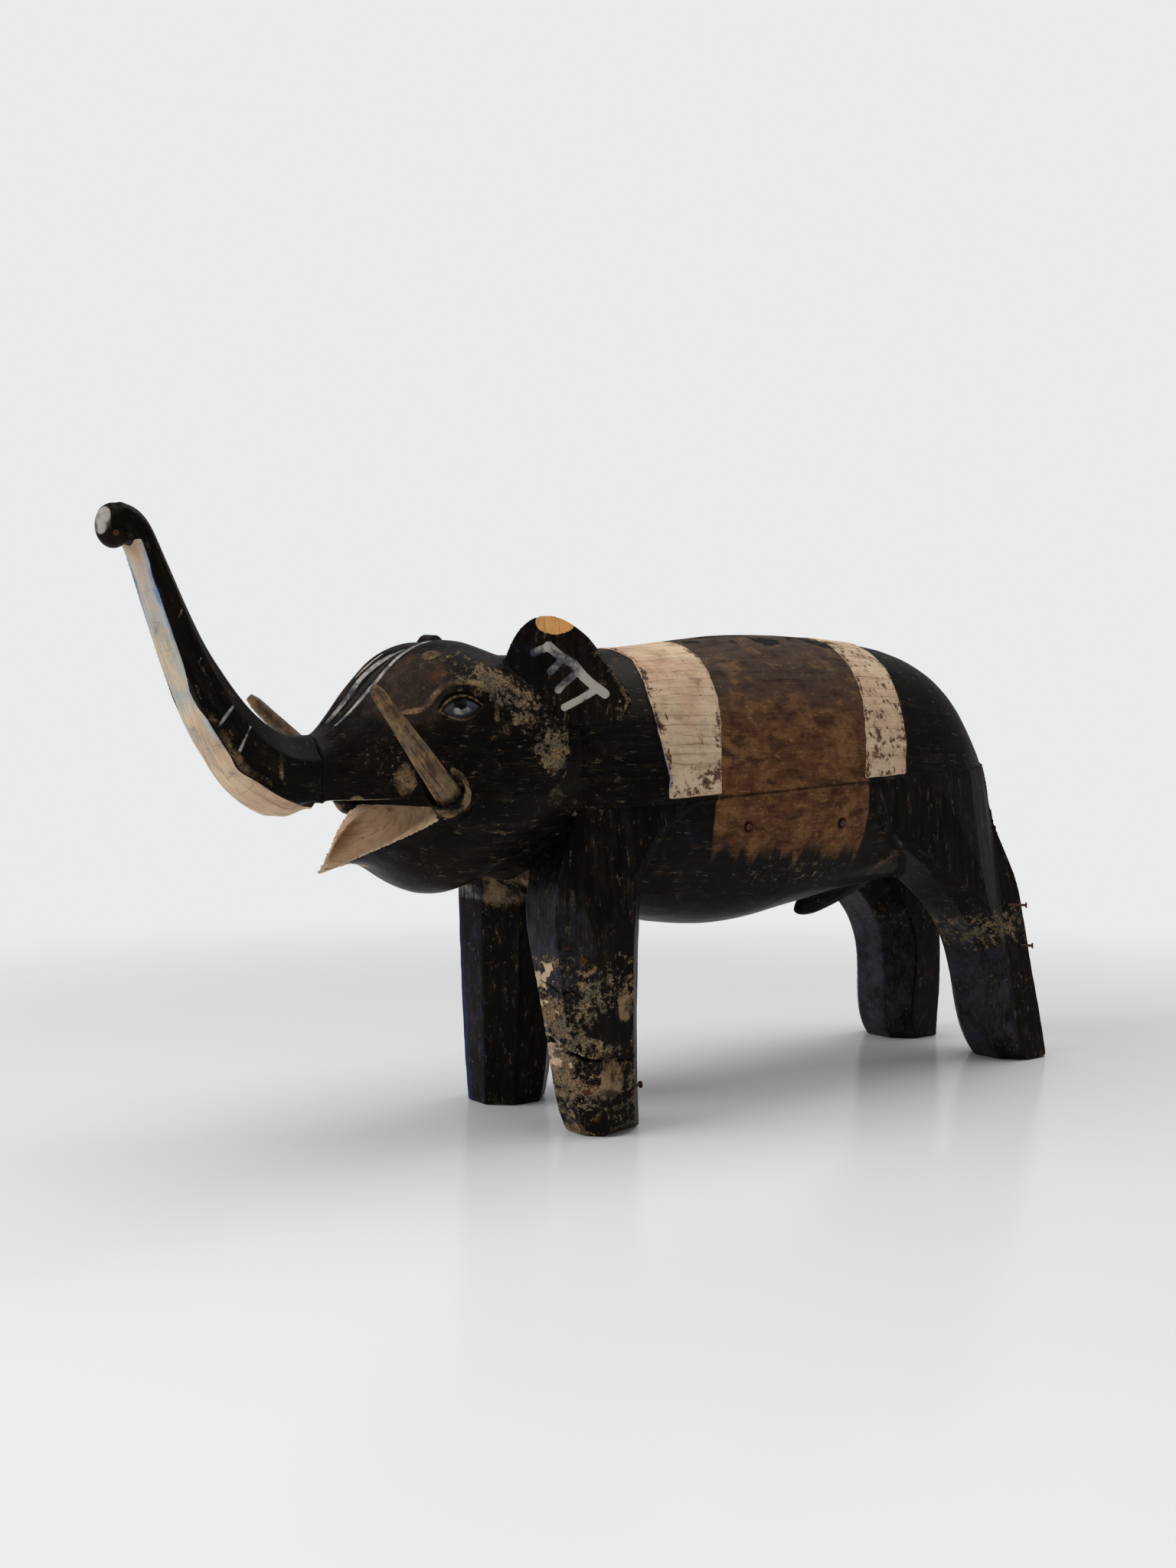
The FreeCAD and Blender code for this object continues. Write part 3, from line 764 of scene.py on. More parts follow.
@dataclass(frozen=True)
class BareWood:
    """Unpainted wood, gone grey and brown in the air."""

    name: str
    brown: Colour
    ochre: Colour
    grey: Colour
    dark: Colour = srgb(36, 25, 18)
    red: Colour = srgb(104, 52, 34)

    def make(self) -> bpy.types.Material:
        """Build the material."""
        bench = Bench(self.name)
        streak = bench.noise(bench.grain, (3.0, 3.0, 40.0), 5, 0.65)
        fibre = bench.noise(bench.grain, (0.5, 0.5, 14.0), 4, 0.65)
        patch = bench.noise(bench.place, 9.0, 5, 0.65)
        grit = bench.noise(bench.place, 0.9, 3)
        colour = bench.blend(self.brown, self.ochre, (patch * 0.6 + streak * 0.4).above(0.52, 0.07))
        colour = bench.blend(colour, self.grey, (streak * 0.7 + fibre * 0.3).above(0.53, 0.06) * 0.85)
        crack = (1.0 - streak).above(0.57, 0.03).most((1.0 - patch).above(0.64, 0.03))
        colour = bench.blend(colour, self.dark, crack * 0.85)
        colour = bench.blend(colour, self.red, bench.left_of(Layer.RUST, 0.2, (patch, 0.8)) * 0.8)
        colour = bench.blend(colour, self.dark, bench.left_of(Layer.DARK, 0.3))
        rough = 0.55 + (fibre - 0.5) * 0.3
        height = fibre * 0.5 + grit * 0.2 - crack * 0.3
        return bench.close(bench.shader(colour, rough, height, 0.3, 0.25))


@dataclass(frozen=True)
class RustyIron:
    """Old wire nails."""

    iron: Colour = srgb(38, 30, 27)
    rust: Colour = srgb(98, 52, 30)

    def make(self) -> bpy.types.Material:
        """Build the material."""
        bench = Bench("rusty_iron")
        scale = bench.noise(bench.place, 1.6, 5, 0.7)
        pits = bench.noise(bench.place, 0.5, 3)
        colour = bench.blend(self.iron, self.rust, scale.above(0.5, 0.08))
        return bench.close(bench.shader(colour, 0.6 + pits * 0.3, scale * 0.6 + pits * 0.4, 0.15, 0.4))


@dataclass(frozen=True)
class TableTop:
    """Smooth white lacquer that melts into the pale air round it."""

    white: Colour = (0.93, 0.93, 0.935)
    clear_from: float = 420.0
    clear_to: float = 1150.0

    def make(self) -> bpy.types.Material:
        """Build the material."""
        bench = Bench("table_top")
        haze = bench.noise(bench.place, 300.0, 3)
        colour = bench.blend(self.white, tuple(part * 0.97 for part in self.white), haze)
        white = bench.shader(colour, 0.16 + haze * 0.06, haze, 0.01, 0.3)
        made = bench.node("ShaderNodeVectorMath", {"operation": "LENGTH"}, {0: bench.place})
        away = Value(bench, made.outputs["Value"])
        middle, half = (self.clear_from + self.clear_to) / 2.0, (self.clear_to - self.clear_from) / 2.0
        clear = bench.node("ShaderNodeBsdfTransparent").outputs[0]
        inputs = {0: away.above(middle, half), 1: white, 2: clear}
        return bench.close(bench.node("ShaderNodeMixShader", None, inputs).outputs[0])


# ------------------------------------------------------------------ pieces
@dataclass
class Piece:
    """What all the painted blocks share."""

    paint: bpy.types.Material
    slot: str = "painted_wood"

    def tooled(self, work: Carving, depth: float, size: tuple, seed: int) -> None:
        """Dress a surface with shallow gouge cuts and the sag of old wood.

        Args:
            work: the piece being carved.
            depth: depth of the cuts in millimetres.
            size: spacing of the cuts along the grain coordinates.
            seed: which run of cuts.
        """
        grain = work.points if work.grain is None else work.grain
        cuts = Noise(seed).scoops(grain, size)
        sag = Noise(seed + 50).rough(work.points, 34.0, 3)
        work.dress(depth * cuts + 0.8 * sag)

    def crack(self, work: Carving, stroke: Stroke, width: float, depth: float) -> None:
        """Open a crack along a stroke and darken it.

        Args:
            work: the piece being carved.
            stroke: the line of the crack.
            width: width at the surface in millimetres.
            depth: depth in millimetres.
        """
        points = work.points
        wander = (Noise(77).rough(points, 6.0, 3) - 0.5) * 4.0
        gap = stroke.distance(points + (0.0, 0.0, 1.0) * wander[:, None])[0]
        mark = 1.0 - ramp(gap, 0.15 * width, 0.75 * width)
        work.sink(depth * mark)
        work.paint(Layer.DARK, mark)


@dataclass
class Body(Piece):
    """Upper and lower block of the body, with the painted saddle cloth."""

    grid: float = 1.4
    cloth_step: float = 0.9
    middle: tuple = (0.0, 190.0)
    radius: float = 85.0
    seam_start: float = 184.5
    seam_rise: float = 0.066
    drips: tuple = ((85.0, 9.0), (136.0, 6.0), (194.0, 11.0))
    fold: Stroke = Stroke(((60.0, 31.0, 250.0), (68.0, 36.0, 222.0), (73.0, 40.0, 200.0),
                           (74.0, 43.0, 190.0)))
    neck_wear: tuple = (Patch(Layer.RUST, (30.0, 20.0, 268.0), (30.0, 18.0, 14.0), 0.42),)
    belly_wear: tuple = (
        Patch(Layer.NAVY, (74.0, 52.0, 172.0), (18.0, 34.0, 26.0), 0.33),
        Patch(Layer.TAN, (62.0, 232.0, 140.0), (26.0, 26.0, 20.0), 0.42),
        Patch(Layer.RUST, (62.0, 232.0, 140.0), (26.0, 26.0, 20.0), 0.45),
    )
    nail_heads: tuple = ((74.0, 90.5, 171.0), (74.0, 171.0, 171.0))

    def seam(self, y: Array) -> Array:
        """Height of the joint between the two blocks."""
        return self.seam_start + self.seam_rise * y

    def cloth(self, work: Carving) -> None:
        """Lay out the cloth: two cream bands and a brown field, raised a little.

        Args:
            work: the upper or the lower block.
        """
        points = work.left
        y, z = points[:, 1], points[:, 2]
        rise = ramp(z, 190.0, 285.0)
        wobble = (Noise(5).rough(points, 16.0, 3) - 0.5) * 4.0
        front = 29.5 - 6.0 * np.sin(rise * math.pi) + 4.0 * rise + wobble
        front_inner = 67.5 + 14.0 * rise + wobble
        rear_inner = 190.0 + 13.0 * rise + wobble
        rear = 229.5 + 9.0 * rise + wobble
        above = ramp(z - self.seam(y), 1.0, 3.5)
        bands = (between(y, front, front_inner, 1.2) + between(y, rear_inner, rear, 1.2)) * above
        ragged = Noise(9).rough(points * (0.3, 1.0, 0.0), (8.0, 6.0, 1.0), 4)
        hem = 166.0 - 20.0 * ragged
        for drip, reach in self.drips:
            hem = hem - reach * (1.0 - ramp(np.abs(y - drip), 0.5, 6.0))
        smears = Noise(13).rough(points * (0.0, 1.0, 0.1), (1.0, 4.0, 3.0), 3) - 0.5
        field = between(y, front_inner - 4.0, rear_inner + 4.0, 2.0)
        field *= ramp(z - hem + 12.0 * smears, -20.0, 18.0)
        work.paint(Layer.UMBER, field)
        work.paint(Layer.CREAM, bands)
        work.paint(Layer.WARM, field * (1.0 - 0.95 * ramp(z, 205.0, 275.0)))
        joint = 1.0 - ramp(np.abs(z - self.seam(y)), 0.5, 1.8)
        work.paint(Layer.DARK, field * joint * 0.6)
        work.paint(Layer.TAN, field * between(z - self.seam(y), 1.5, 3.5, 1.0) * 0.42)
        ridge = ramp(z, 281.0, 285.0) * between(y, 80.0, 205.0, 4.0)
        work.paint(Layer.DARK, ridge * ramp(Noise(21).rough(points, 9.0, 3), 0.5, 0.62) * 0.75)
        edges = np.minimum.reduce([np.abs(y - line) for line in (front, front_inner, rear_inner, rear)])
        work.paint(Layer.CHIPPED, bands * (1.0 - ramp(edges, 0.0, 9.0)))
        work.paint(Layer.GRIME_AND_SHADE, bands * (1.0 - ramp(edges, 0.0, 6.0)) * 0.42)
        work.paint(Layer.CHIPPED, bands * ramp(y, 150.0, 200.0) * 0.6)
        low = bands * (1.0 - ramp(z, 195.0, 230.0))
        work.paint(Layer.CHIPPED, low * 0.85)
        work.paint(Layer.GRIME_AND_SHADE, low * 0.3)
        outline = between(y, front - 0.5, front + 1.5, 0.8)
        work.paint(Layer.NAVY, outline * between(z, 187.0, 226.0, 8.0) * 0.6)
        work.paint(Layer.GRIME_AND_SHADE, self.fold.mark(points, 1.2, 0.8) * 0.9)
        raised = np.maximum(bands, 0.6 * field)
        work.dress(self.cloth_step * (1.0 - raised))

    def back(self) -> None:
        """Upper block."""
        work = Carving("back_block", self.grid)
        work.grain = girth(work.points, self.middle, self.radius)
        self.tooled(work, 0.35, (17.0, 15.0, 44.0), 1)
        self.cloth(work)
        work.dab(work.left, self.neck_wear)
        work.finish("back", self.paint, self.slot)

    def belly(self) -> None:
        """Lower block."""
        work = Carving("belly_block", self.grid)
        work.grain = girth(work.points * (1.0, 1.0, -1.0), (0.0, -self.middle[1]), self.radius)
        self.tooled(work, 0.5, (19.0, 15.0, 40.0), 11)
        self.cloth(work)
        points, normals = work.left, work.normals
        work.dab(points, self.belly_wear)
        chest = ramp(-normals[:, 1], 0.3, 0.8) * ramp(-points[:, 1], -10.0, 5.0)
        work.paint(Layer.TAN, chest * ramp(points[:, 2], 118.0, 140.0) * 0.75)
        for place in self.nail_heads:
            work.dab(points, (Patch(Layer.DARK, place, (8.0, 4.5, 4.5), 1.4),
                              Patch(Layer.RUST, place, (9.0, 9.0, 8.0), 0.7)))
        streaks = between(points[:, 2], 130.0, 152.0, 6.0) * between(points[:, 1], 95.0, 190.0, 10.0)
        work.paint(Layer.FLAKED, streaks * 0.55)
        work.finish("belly", self.paint, self.slot)


@dataclass(frozen=True)
class Eye:
    """Almond eye under a carved brow, laid out on the left side of the head."""

    centre: tuple = (55.0, -100.0, 239.0)
    along: tuple = (7.0, 19.0, 3.0)
    facing: tuple = (0.83, -0.33, 0.42)
    half_length: float = 10.5
    upper: float = 5.4
    lower: float = 4.8
    pupil: float = 4.2

    def plan(self, points: Array) -> tuple[Array, Array, Array]:
        """Coordinates round the eye.

        Args:
            points: places on the left half of the head.

        Returns:
            Distance along the eye, height above its middle, and gap from the lids (negative inside).
        """
        along = np.array(self.along) / np.linalg.norm(self.along)
        up = np.cross(self.facing, along)
        up /= np.linalg.norm(up)
        away = points - np.array(self.centre)
        s, t = away @ along, away @ up
        bow = np.clip(1.0 - (s / self.half_length) ** 2, 0.0, 1.0)
        beyond = np.clip(np.abs(s) - self.half_length, 0.0, None)
        gap = np.maximum(t - self.upper * bow**0.8, -t - self.lower * bow) + beyond
        far = np.abs(away @ np.array(self.facing)) > 14.0
        return s, t, np.where(far, 99.0, gap)


@dataclass
class Head(Piece):
    """Head block with its eyes, brows, forehead stripes and open mouth."""

    grid: float = 1.35
    middle: tuple = (0.0, 205.0)
    radius: float = 65.0
    eye: Eye = Eye()
    brow: Stroke = Stroke(((38.0, -126.0, 236.0), (45.0, -118.0, 238.0), (47.0, -110.0, 247.0),
                           (50.0, -100.0, 252.0), (56.0, -87.0, 251.0), (60.0, -82.0, 243.0),
                           (61.5, -82.0, 233.0))).rounded()
    stripes: tuple = (
        (Stroke(((15.0, -96.0, 277.0), (14.0, -115.0, 268.0), (14.5, -130.0, 253.0),
                 (12.0, -143.0, 239.0), (9.0, -151.0, 231.0))).rounded(), 4.2),
        (Stroke(((1.0, -105.0, 275.0), (-6.0, -125.0, 260.0), (-4.0, -138.0, 246.0),
                 (-3.0, -149.0, 234.0))).rounded(), 7.0),
        (Stroke(((-13.0, -110.0, 270.0), (-14.0, -128.0, 256.0), (-11.0, -141.0, 243.0))).rounded(), 2.4),
    )
    cheek: Stroke = Stroke(((54.0, -86.0, 257.0), (60.0, -70.0, 250.0), (62.0, -62.0, 238.0),
                            (65.0, -52.0, 226.0), (67.0, -50.0, 216.0)))
    patches: tuple = (
        # the first two patches and the tan spot on the forehead are rubbed wear that also stands for the
        # forehead's sheen, which is painted light
        Patch(Layer.FLAKED, (44.0, -106.0, 260.0), (34.0, 40.0, 26.0), 0.7),
        Patch(Layer.UMBER, (34.0, -120.0, 250.0), (44.0, 50.0, 44.0), 0.52),
        Patch(Layer.FLAKED, (40.0, -134.0, 212.0), (26.0, 26.0, 22.0), 0.55),
        Patch(Layer.FLAKED, (64.0, -60.0, 190.0), (30.0, 34.0, 26.0), 0.4),
        Patch(Layer.TAN, (32.0, -106.0, 268.0), (7.0, 9.0, 5.0), 0.85),
        Patch(Layer.TAN, (64.0, -44.0, 190.0), (10.0, 12.0, 11.0), 0.45),
        Patch(Layer.TAN, (43.0, -128.0, 201.0), (9.0, 12.0, 15.0), 0.55),
        Patch(Layer.TAN, (29.0, -149.0, 191.0), (5.0, 7.0, 2.5), 0.7),
        Patch(Layer.TAN, (64.0, -80.0, 226.0), (6.0, 12.0, 9.0), 0.4),
        Patch(Layer.SLATE, (67.0, -45.0, 209.0), (5.0, 7.0, 4.0), 0.9),
    )
    socket: tuple = (57.0, -111.0, 194.5)
    socket_sizes: tuple = (12.5, 12.5, 13.0)
    mouth_corner: float = -104.0
    lip: float = 185.5
    rim_tip: float = -160.0
    rim_height: float = 148.0
    rim_slope: float = 0.68
    hollow: tuple = ((-153.0, 4.0, 1.2), (-141.0, 15.0, 5.5), (-126.0, 29.0, 13.0), (-112.0, 34.0, 17.0),
                     (-101.0, 20.0, 10.0))

    def near_eye(self, points: Array) -> Array:
        """True round the eyes and brows, where the grid has to be finer."""
        return spot(folded(points), (53.0, -100.0, 243.0), (26.0, 34.0, 26.0)) > 0.05

    def near_stripes(self, points: Array) -> Array:
        """True on the forehead."""
        return (points[:, 1] < -92.0) & (points[:, 2] > 226.0) & (np.abs(points[:, 0]) < 26.0)

    def carve_eye(self, work: Carving) -> None:
        """Cut the socket, lids and ball, and raise the brow."""
        points = work.left
        _, t, gap = self.eye.plan(points)
        brow = self.brow.distance(points)[0]
        socket = spot(points, (52.0, -99.0, 243.0), (20.0, 20.0, 13.0)) * (1.0 - ramp(3.5 - brow, 0.0, 2.5))
        ball = ramp(-gap, 0.0, 4.5)
        rim = 1.0 - ramp(np.abs(gap - 1.3), 0.5, 1.6)
        crease = (1.0 - ramp(np.abs(gap), 0.2, 1.0))
        fold = (1.0 - ramp(np.abs(gap - 4.0), 0.3, 1.3)) * ramp(t, 0.0, 2.5)
        ridge = 1.0 - ramp(brow, 0.8, 3.2)
        work.sink(1.7 * socket - 1.5 * ball - 0.8 * rim + 0.7 * crease + 0.7 * fold - 0.9 * ridge)

    def paint_eye(self, work: Carving) -> None:
        """Paint the white, which is also the eye's painted highlight, the pupil, the lids and the rubbed
        brow.
        """
        points = work.left
        s, t, gap = self.eye.plan(points)
        inside = ramp(-gap, 0.0, 1.0)
        reach = np.hypot(s + 0.6, t - 2.6) + (Noise(31).rough(points, 3.0, 3) - 0.5) * 3.0
        pupil = (1.0 - ramp(reach, self.eye.pupil - 2.0, self.eye.pupil + 0.8)) * inside
        work.paint(Layer.SLATE, inside * 1.2)
        # pale eye white: the eye's own paint, and also a painted highlight on it
        white = 1.0 - ramp(np.hypot(s / 8.5, (t + 1.2) / 4.4), 0.3, 1.0)
        work.paint(Layer.PALE_AND_HIGHLIGHT, inside * white * 0.56)
        work.paint(Layer.DARK, pupil * 0.9)
        lid = (1.0 - ramp(np.abs(gap - 1.6), 0.4, 1.4))
        work.paint(Layer.TAN, lid * 0.45)
        work.paint(Layer.DARK, (1.0 - ramp(np.abs(gap - 3.9), 0.4, 1.4)) * ramp(t, 0.0, 3.0) * 0.8)
        width = 1.0 - ramp(self.brow.distance(points)[0], 1.0, 2.6)
        work.paint(Layer.TAN, width * 0.62)

    def mouth(self, work: Carving) -> None:
        """Paint the inside of the mouth cream, with painted shade darkening it towards its corner and under
        the lip.
        """
        points, normals = work.points, work.normals
        x, y, z = np.abs(points[:, 0]), points[:, 1], points[:, 2]
        stations, halves, depths = zip(*self.hollow)
        rim = self.rim_height + self.rim_slope * (y - self.rim_tip)
        within = ramp(np.interp(y, stations, halves) + 7.0 - x, -0.5, 0.5) * ramp(-96.0 - y, -1.0, 1.0)
        within *= ramp(z - rim + np.interp(y, stations, depths) + 5.0, -0.5, 0.5)
        inwards = normals[:, 0] * -np.sign(points[:, 0])
        cup = within * np.maximum(ramp(normals[:, 2], -0.3, -0.1), ramp(inwards, -0.15, 0.05))
        open_part = ramp(-y, -self.mouth_corner - 3.0, -self.mouth_corner + 2.0)
        rim_edge = ramp(z - rim, -2.4, -1.2) * (1.0 - ramp(z, self.lip - 7.0, self.lip - 4.0))
        edge = np.maximum(ramp(normals[:, 2], 0.05, 0.35), rim_edge) * open_part
        below = 1.0 - ramp(z, self.lip - 1.0, self.lip + 1.0)
        floor = np.maximum(cup, edge) * below
        roof = between(z, self.lip - 2.0, self.lip + 8.0, 1.0) * open_part
        roof *= ramp(-normals[:, 2], 0.85, 0.97)
        work.paint(Layer.CREAM, np.maximum(floor, roof) * 1.1)
        # painted shade: the cream darkens towards the corner of the mouth and on the roof under the lip
        depth = ramp(y, -146.0, -102.0)
        work.paint(Layer.GRIME_AND_SHADE, floor * 0.3 * depth**2 + roof * (0.15 + 0.4 * depth))

    def wear(self, work: Carving) -> None:
        """Paint the flaked cheek, rubbed spots (on the forehead partly painted sheen), and the tusk collars
        with painted shade inside them.
        """
        points = work.left
        y, z = points[:, 1], points[:, 2]
        reach = self.cheek.distance(points)[0]
        clumps = 0.35 + 1.3 * Noise(47).rough(points, 13.0, 3)
        work.paint(Layer.FLAKED, 1.05 * (1.0 - ramp(reach, 3.0, 24.0)) * clumps)
        work.dab(points, self.patches)
        collar = np.linalg.norm((points - self.socket) / self.socket_sizes, axis=1)
        ring = 1.0 - ramp(np.abs(collar - 0.92), 0.1, 0.24)
        work.paint(Layer.TAN, ring * np.maximum(ramp(y, -112.0, -104.0), ramp(-z, -189.0, -184.0)) * 0.62)
        # painted shade in the hollow round each tusk root
        inside = 1.0 - ramp(collar, 0.55, 0.75)
        work.paint(Layer.DARK, inside * 0.6)
        base = ramp(-y, 156.0, 163.0) * ramp(z, 186.0, 196.0)
        work.paint(Layer.GREEN, base)
        work.paint(Layer.FLAKED, between(y, -165.0, -140.0, 8.0) * ramp(z, 200.0, 215.0) * 0.28)
        work.paint(Layer.SLATE, ramp(-work.normals[:, 2], 0.2, 0.8) * ramp(-y, 90.0, 130.0) * 0.4)

    def build(self) -> None:
        """Carve and paint the head."""
        work = Carving("head", self.grid)
        work.refine(self.near_eye, 2)
        work.refine(self.near_stripes)
        work.grain = girth(work.points, self.middle, self.radius)
        self.tooled(work, 0.45, (16.0, 13.0, 34.0), 21)
        work.soften(lambda places: (places[:, 1] < -146.0) & (places[:, 2] < 168.0), 8)
        points = work.points
        crown = ramp(-points[:, 1], 55.0, 85.0) * ramp(points[:, 2], 215.0, 250.0)
        work.sink(2.2 * crown * (1.0 - ramp(np.abs(points[:, 0]), 1.0, 15.0)))
        self.carve_eye(work)
        for stroke, width in self.stripes:
            reach = stroke.distance(points)[0]
            work.sink(0.7 * (1.0 - ramp(np.abs(reach - width * 0.75), 0.3, 2.0)))
        self.paint_eye(work)
        for stroke, width in self.stripes:
            reach = stroke.distance(work.points)[0]
            fade = 0.75 + 0.25 * Noise(41).rough(work.points, 14.0, 2)
            work.paint(Layer.PALE_AND_HIGHLIGHT, (1.0 - ramp(reach, width * 0.3, width * 0.62)) * fade)
        self.mouth(work)
        self.wear(work)
        work.finish("head_block", self.paint, self.slot)


@dataclass
class Trunk(Piece):
    """Raised trunk, cream beneath and black above, with a round tip."""

    grid: float = 0.9
    radius: float = 17.0
    middle: Stroke = Stroke((
        (-150.0, 203.0), (-166.0, 202.0), (-186.0, 206.0), (-206.0, 221.0), (-221.0, 245.0),
        (-234.0, 272.0), (-244.0, 297.0), (-252.0, 318.0), (-260.0, 331.0), (-270.0, 333.0),
    )).rounded()
    border: Stroke = Stroke((
        (-150.0, 184.0), (-164.0, 186.0), (-177.0, 188.0), (-189.0, 193.0), (-200.0, 200.0),
        (-209.0, 206.0), (-215.0, 215.0), (-225.0, 231.0), (-232.0, 245.0), (-241.0, 270.0),
        (-250.0, 296.0), (-254.0, 309.0), (-257.0, 318.0),
    )).rounded()
    tip: tuple = (0.0, -267.0, 326.3)
    ticks: tuple = (
        Stroke(((14.0, -237.0, 286.0), (15.0, -241.0, 278.0))),
        Stroke(((15.0, -228.0, 262.0), (16.0, -232.0, 254.0))),
        Stroke(((16.0, -212.0, 238.0), (17.0, -220.0, 228.0))),
        Stroke(((17.0, -203.0, 228.0), (18.0, -209.0, 216.0))),
    )
    tick_width: float = 1.7
    nostril_edge: Stroke = Stroke(((9.0, -272.0, 331.0), (9.0, -272.0, 321.0)))
    # a pale patch on the front of the round tip, which is a painted highlight, and a rust chip
    tip_highlight_and_rust: tuple = (
        Patch(Layer.PALE_AND_HIGHLIGHT, (3.5, -275.5, 328.5), (9.0, 8.0, 10.0), 1.7),
        Patch(Layer.RUST, (10.0, -269.0, 321.0), (3.0, 3.0, 3.0)),
    )
    root_lift: float = 7.0

    def build(self) -> None:
        """Carve and paint the trunk."""
        work = Carving("trunk", self.grid)
        points = work.points
        plane = points[:, 1:]
        distance, along = self.middle.distance(plane)
        side = np.sign(self.middle.side(plane)) * distance
        around = np.arctan2(points[:, 0], side) * self.radius
        work.grain = np.stack([np.hypot(points[:, 0], side), around, along], axis=1)
        self.tooled(work, 0.3, (12.0, 12.0, 30.0), 31)
        work.soften(lambda places: self.border.side(places[:, 1:]) > 1.0, 14)
        points = work.points
        lift = ramp(points[:, 1], -184.0, -167.0) * ramp(-points[:, 2], -192.0, -182.0)
        points[:, 2] += self.root_lift * lift
        work.points = points
        below = -self.border.side(points[:, 1:])
        knob = 1.0 - ramp(np.linalg.norm(points - np.array(self.tip), axis=1), 11.5, 13.5)
        under = ramp(below, -0.6, 0.6) * (1.0 - knob) * (1.0 - ramp(points[:, 2], 317.0, 321.0))
        work.paint(Layer.CREAM, under * 1.05)
        upper = ramp(points[:, 2], 262.0, 285.0)
        edge = 1.0 - ramp(np.abs(below), 0.5, 3.5)
        rim = ramp(np.abs(points[:, 0]), 7.0, 12.0)
        work.paint(Layer.SKY, upper * (0.5 + 0.45 * rim) * between(points[:, 2], 262.0, 314.0, 6.0))
        work.paint(Layer.SKY, edge * 0.5 * ramp(points[:, 2], 205.0, 225.0))
        work.paint(Layer.SKY, under * 0.34)
        work.paint(Layer.NAVY, (1.0 - ramp(np.abs(below), 0.2, 1.5)) * (0.3 + 0.25 * upper))
        # painted shade: the cream underside darkens towards the root, under the head
        root = ramp(points[:, 1], -205.0, -180.0)
        work.paint(Layer.GRIME_AND_SHADE, under * (0.08 + 0.3 * root))
        bend = ramp(-below, 0.0, 1.0) * (1.0 - ramp(-below, 3.0, 9.0))
        work.paint(Layer.TAN, bend * between(points[:, 2], 196.0, 238.0, 8.0) * 0.5)
        band = between(points[:, 1], -186.0, -140.0, 2.0) * (1.0 - under)
        work.paint(Layer.GREEN, band)
        stain = between(points[:, 1], -189.0, -186.0, 1.0) * between(points[:, 2], 200.0, 216.0, 3.0)
        work.paint(Layer.TAN, stain * 0.55)
        work.paint(Layer.FLAKED, band * 0.4)
        for tick in self.ticks:
            work.paint(Layer.PALE_AND_HIGHLIGHT, tick.mark(work.left, self.tick_width, 1.0) * 0.9)
        work.paint(Layer.TAN, self.nostril_edge.mark(work.left, 2.5, 1.2) * 0.7)
        # painted highlight on the tip's front, and a rust chip
        work.dab(points, self.tip_highlight_and_rust)
        work.finish("trunk_raised", self.paint, self.slot)


@dataclass
class Ears(Piece):
    """Two flared ears with a comb mark painted on each, and one tip newly broken."""

    grid: float = 0.8
    spine: Stroke = Stroke(((58.0, -46.0, 273.5), (63.0, -40.5, 267.5), (66.5, -35.5, 264.0),
                            (70.0, -31.0, 257.0), (73.0, -27.0, 252.5), (77.0, -21.5, 247.5)))
    teeth: tuple = (
        Stroke(((58.0, -46.5, 273.0), (54.0, -53.0, 270.0))),
        Stroke(((63.0, -41.0, 265.5), (60.0, -46.0, 259.5))),
        Stroke(((68.0, -34.0, 259.0), (65.0, -40.0, 253.5), (63.0, -43.0, 249.5))),
        Stroke(((74.0, -26.0, 249.5), (70.0, -33.0, 244.5), (65.5, -40.5, 240.0))),
    )
    spine_width: float = 5.2
    tooth_width: float = 4.2
    rim: Stroke = Stroke(((72.0, -26.0, 274.0), (79.0, -17.0, 259.0), (84.0, -11.0, 243.0),
                          (82.0, -14.0, 234.0)))
    front_wear: tuple = (Patch(Layer.NAVY, (51.0, -58.0, 270.0), (14.0, 14.0, 16.0), 0.34),)
    right_offset: tuple = (0.0, -9.0, -4.0)

    def build(self) -> None:
        """Carve and paint both ears."""
        for node, mirrored in (("ear_left", False), ("ear_right", True)):
            work = Carving(node, self.grid)
            work.grain = work.points
            self.tooled(work, 0.3, (9.0, 9.0, 22.0), 41 + mirrored)
            points = work.points
            if mirrored:
                points = points * (-1.0, 1.0, 1.0) - np.array(self.right_offset)
            work.paint(Layer.PALE_AND_HIGHLIGHT, self.spine.mark(points, self.spine_width, 0.5) * 1.15)
            for tooth in self.teeth:
                work.paint(Layer.PALE_AND_HIGHLIGHT, tooth.mark(points, self.tooth_width, 0.5) * 1.15)
            work.dab(points, self.front_wear)
            work.paint(Layer.TAN, self.rim.mark(points, 3.0, 1.5) * 0.55)
            work.paint(Layer.FLAKED, 0.35 + self.rim.mark(points, 9.0, 4.0) * 0.35)
            if not mirrored:
                broken = spot(points, (60.0, -43.0, 287.0), (16.0, 15.0, 9.5))
                wander = (Noise(44).rough(points, 6.0, 3) - 0.5) * 0.25
                work.paint(Layer.FRESH, ramp(broken + wander, 0.3, 0.45))
            work.finish(f"{node}_flap", self.paint, self.slot)


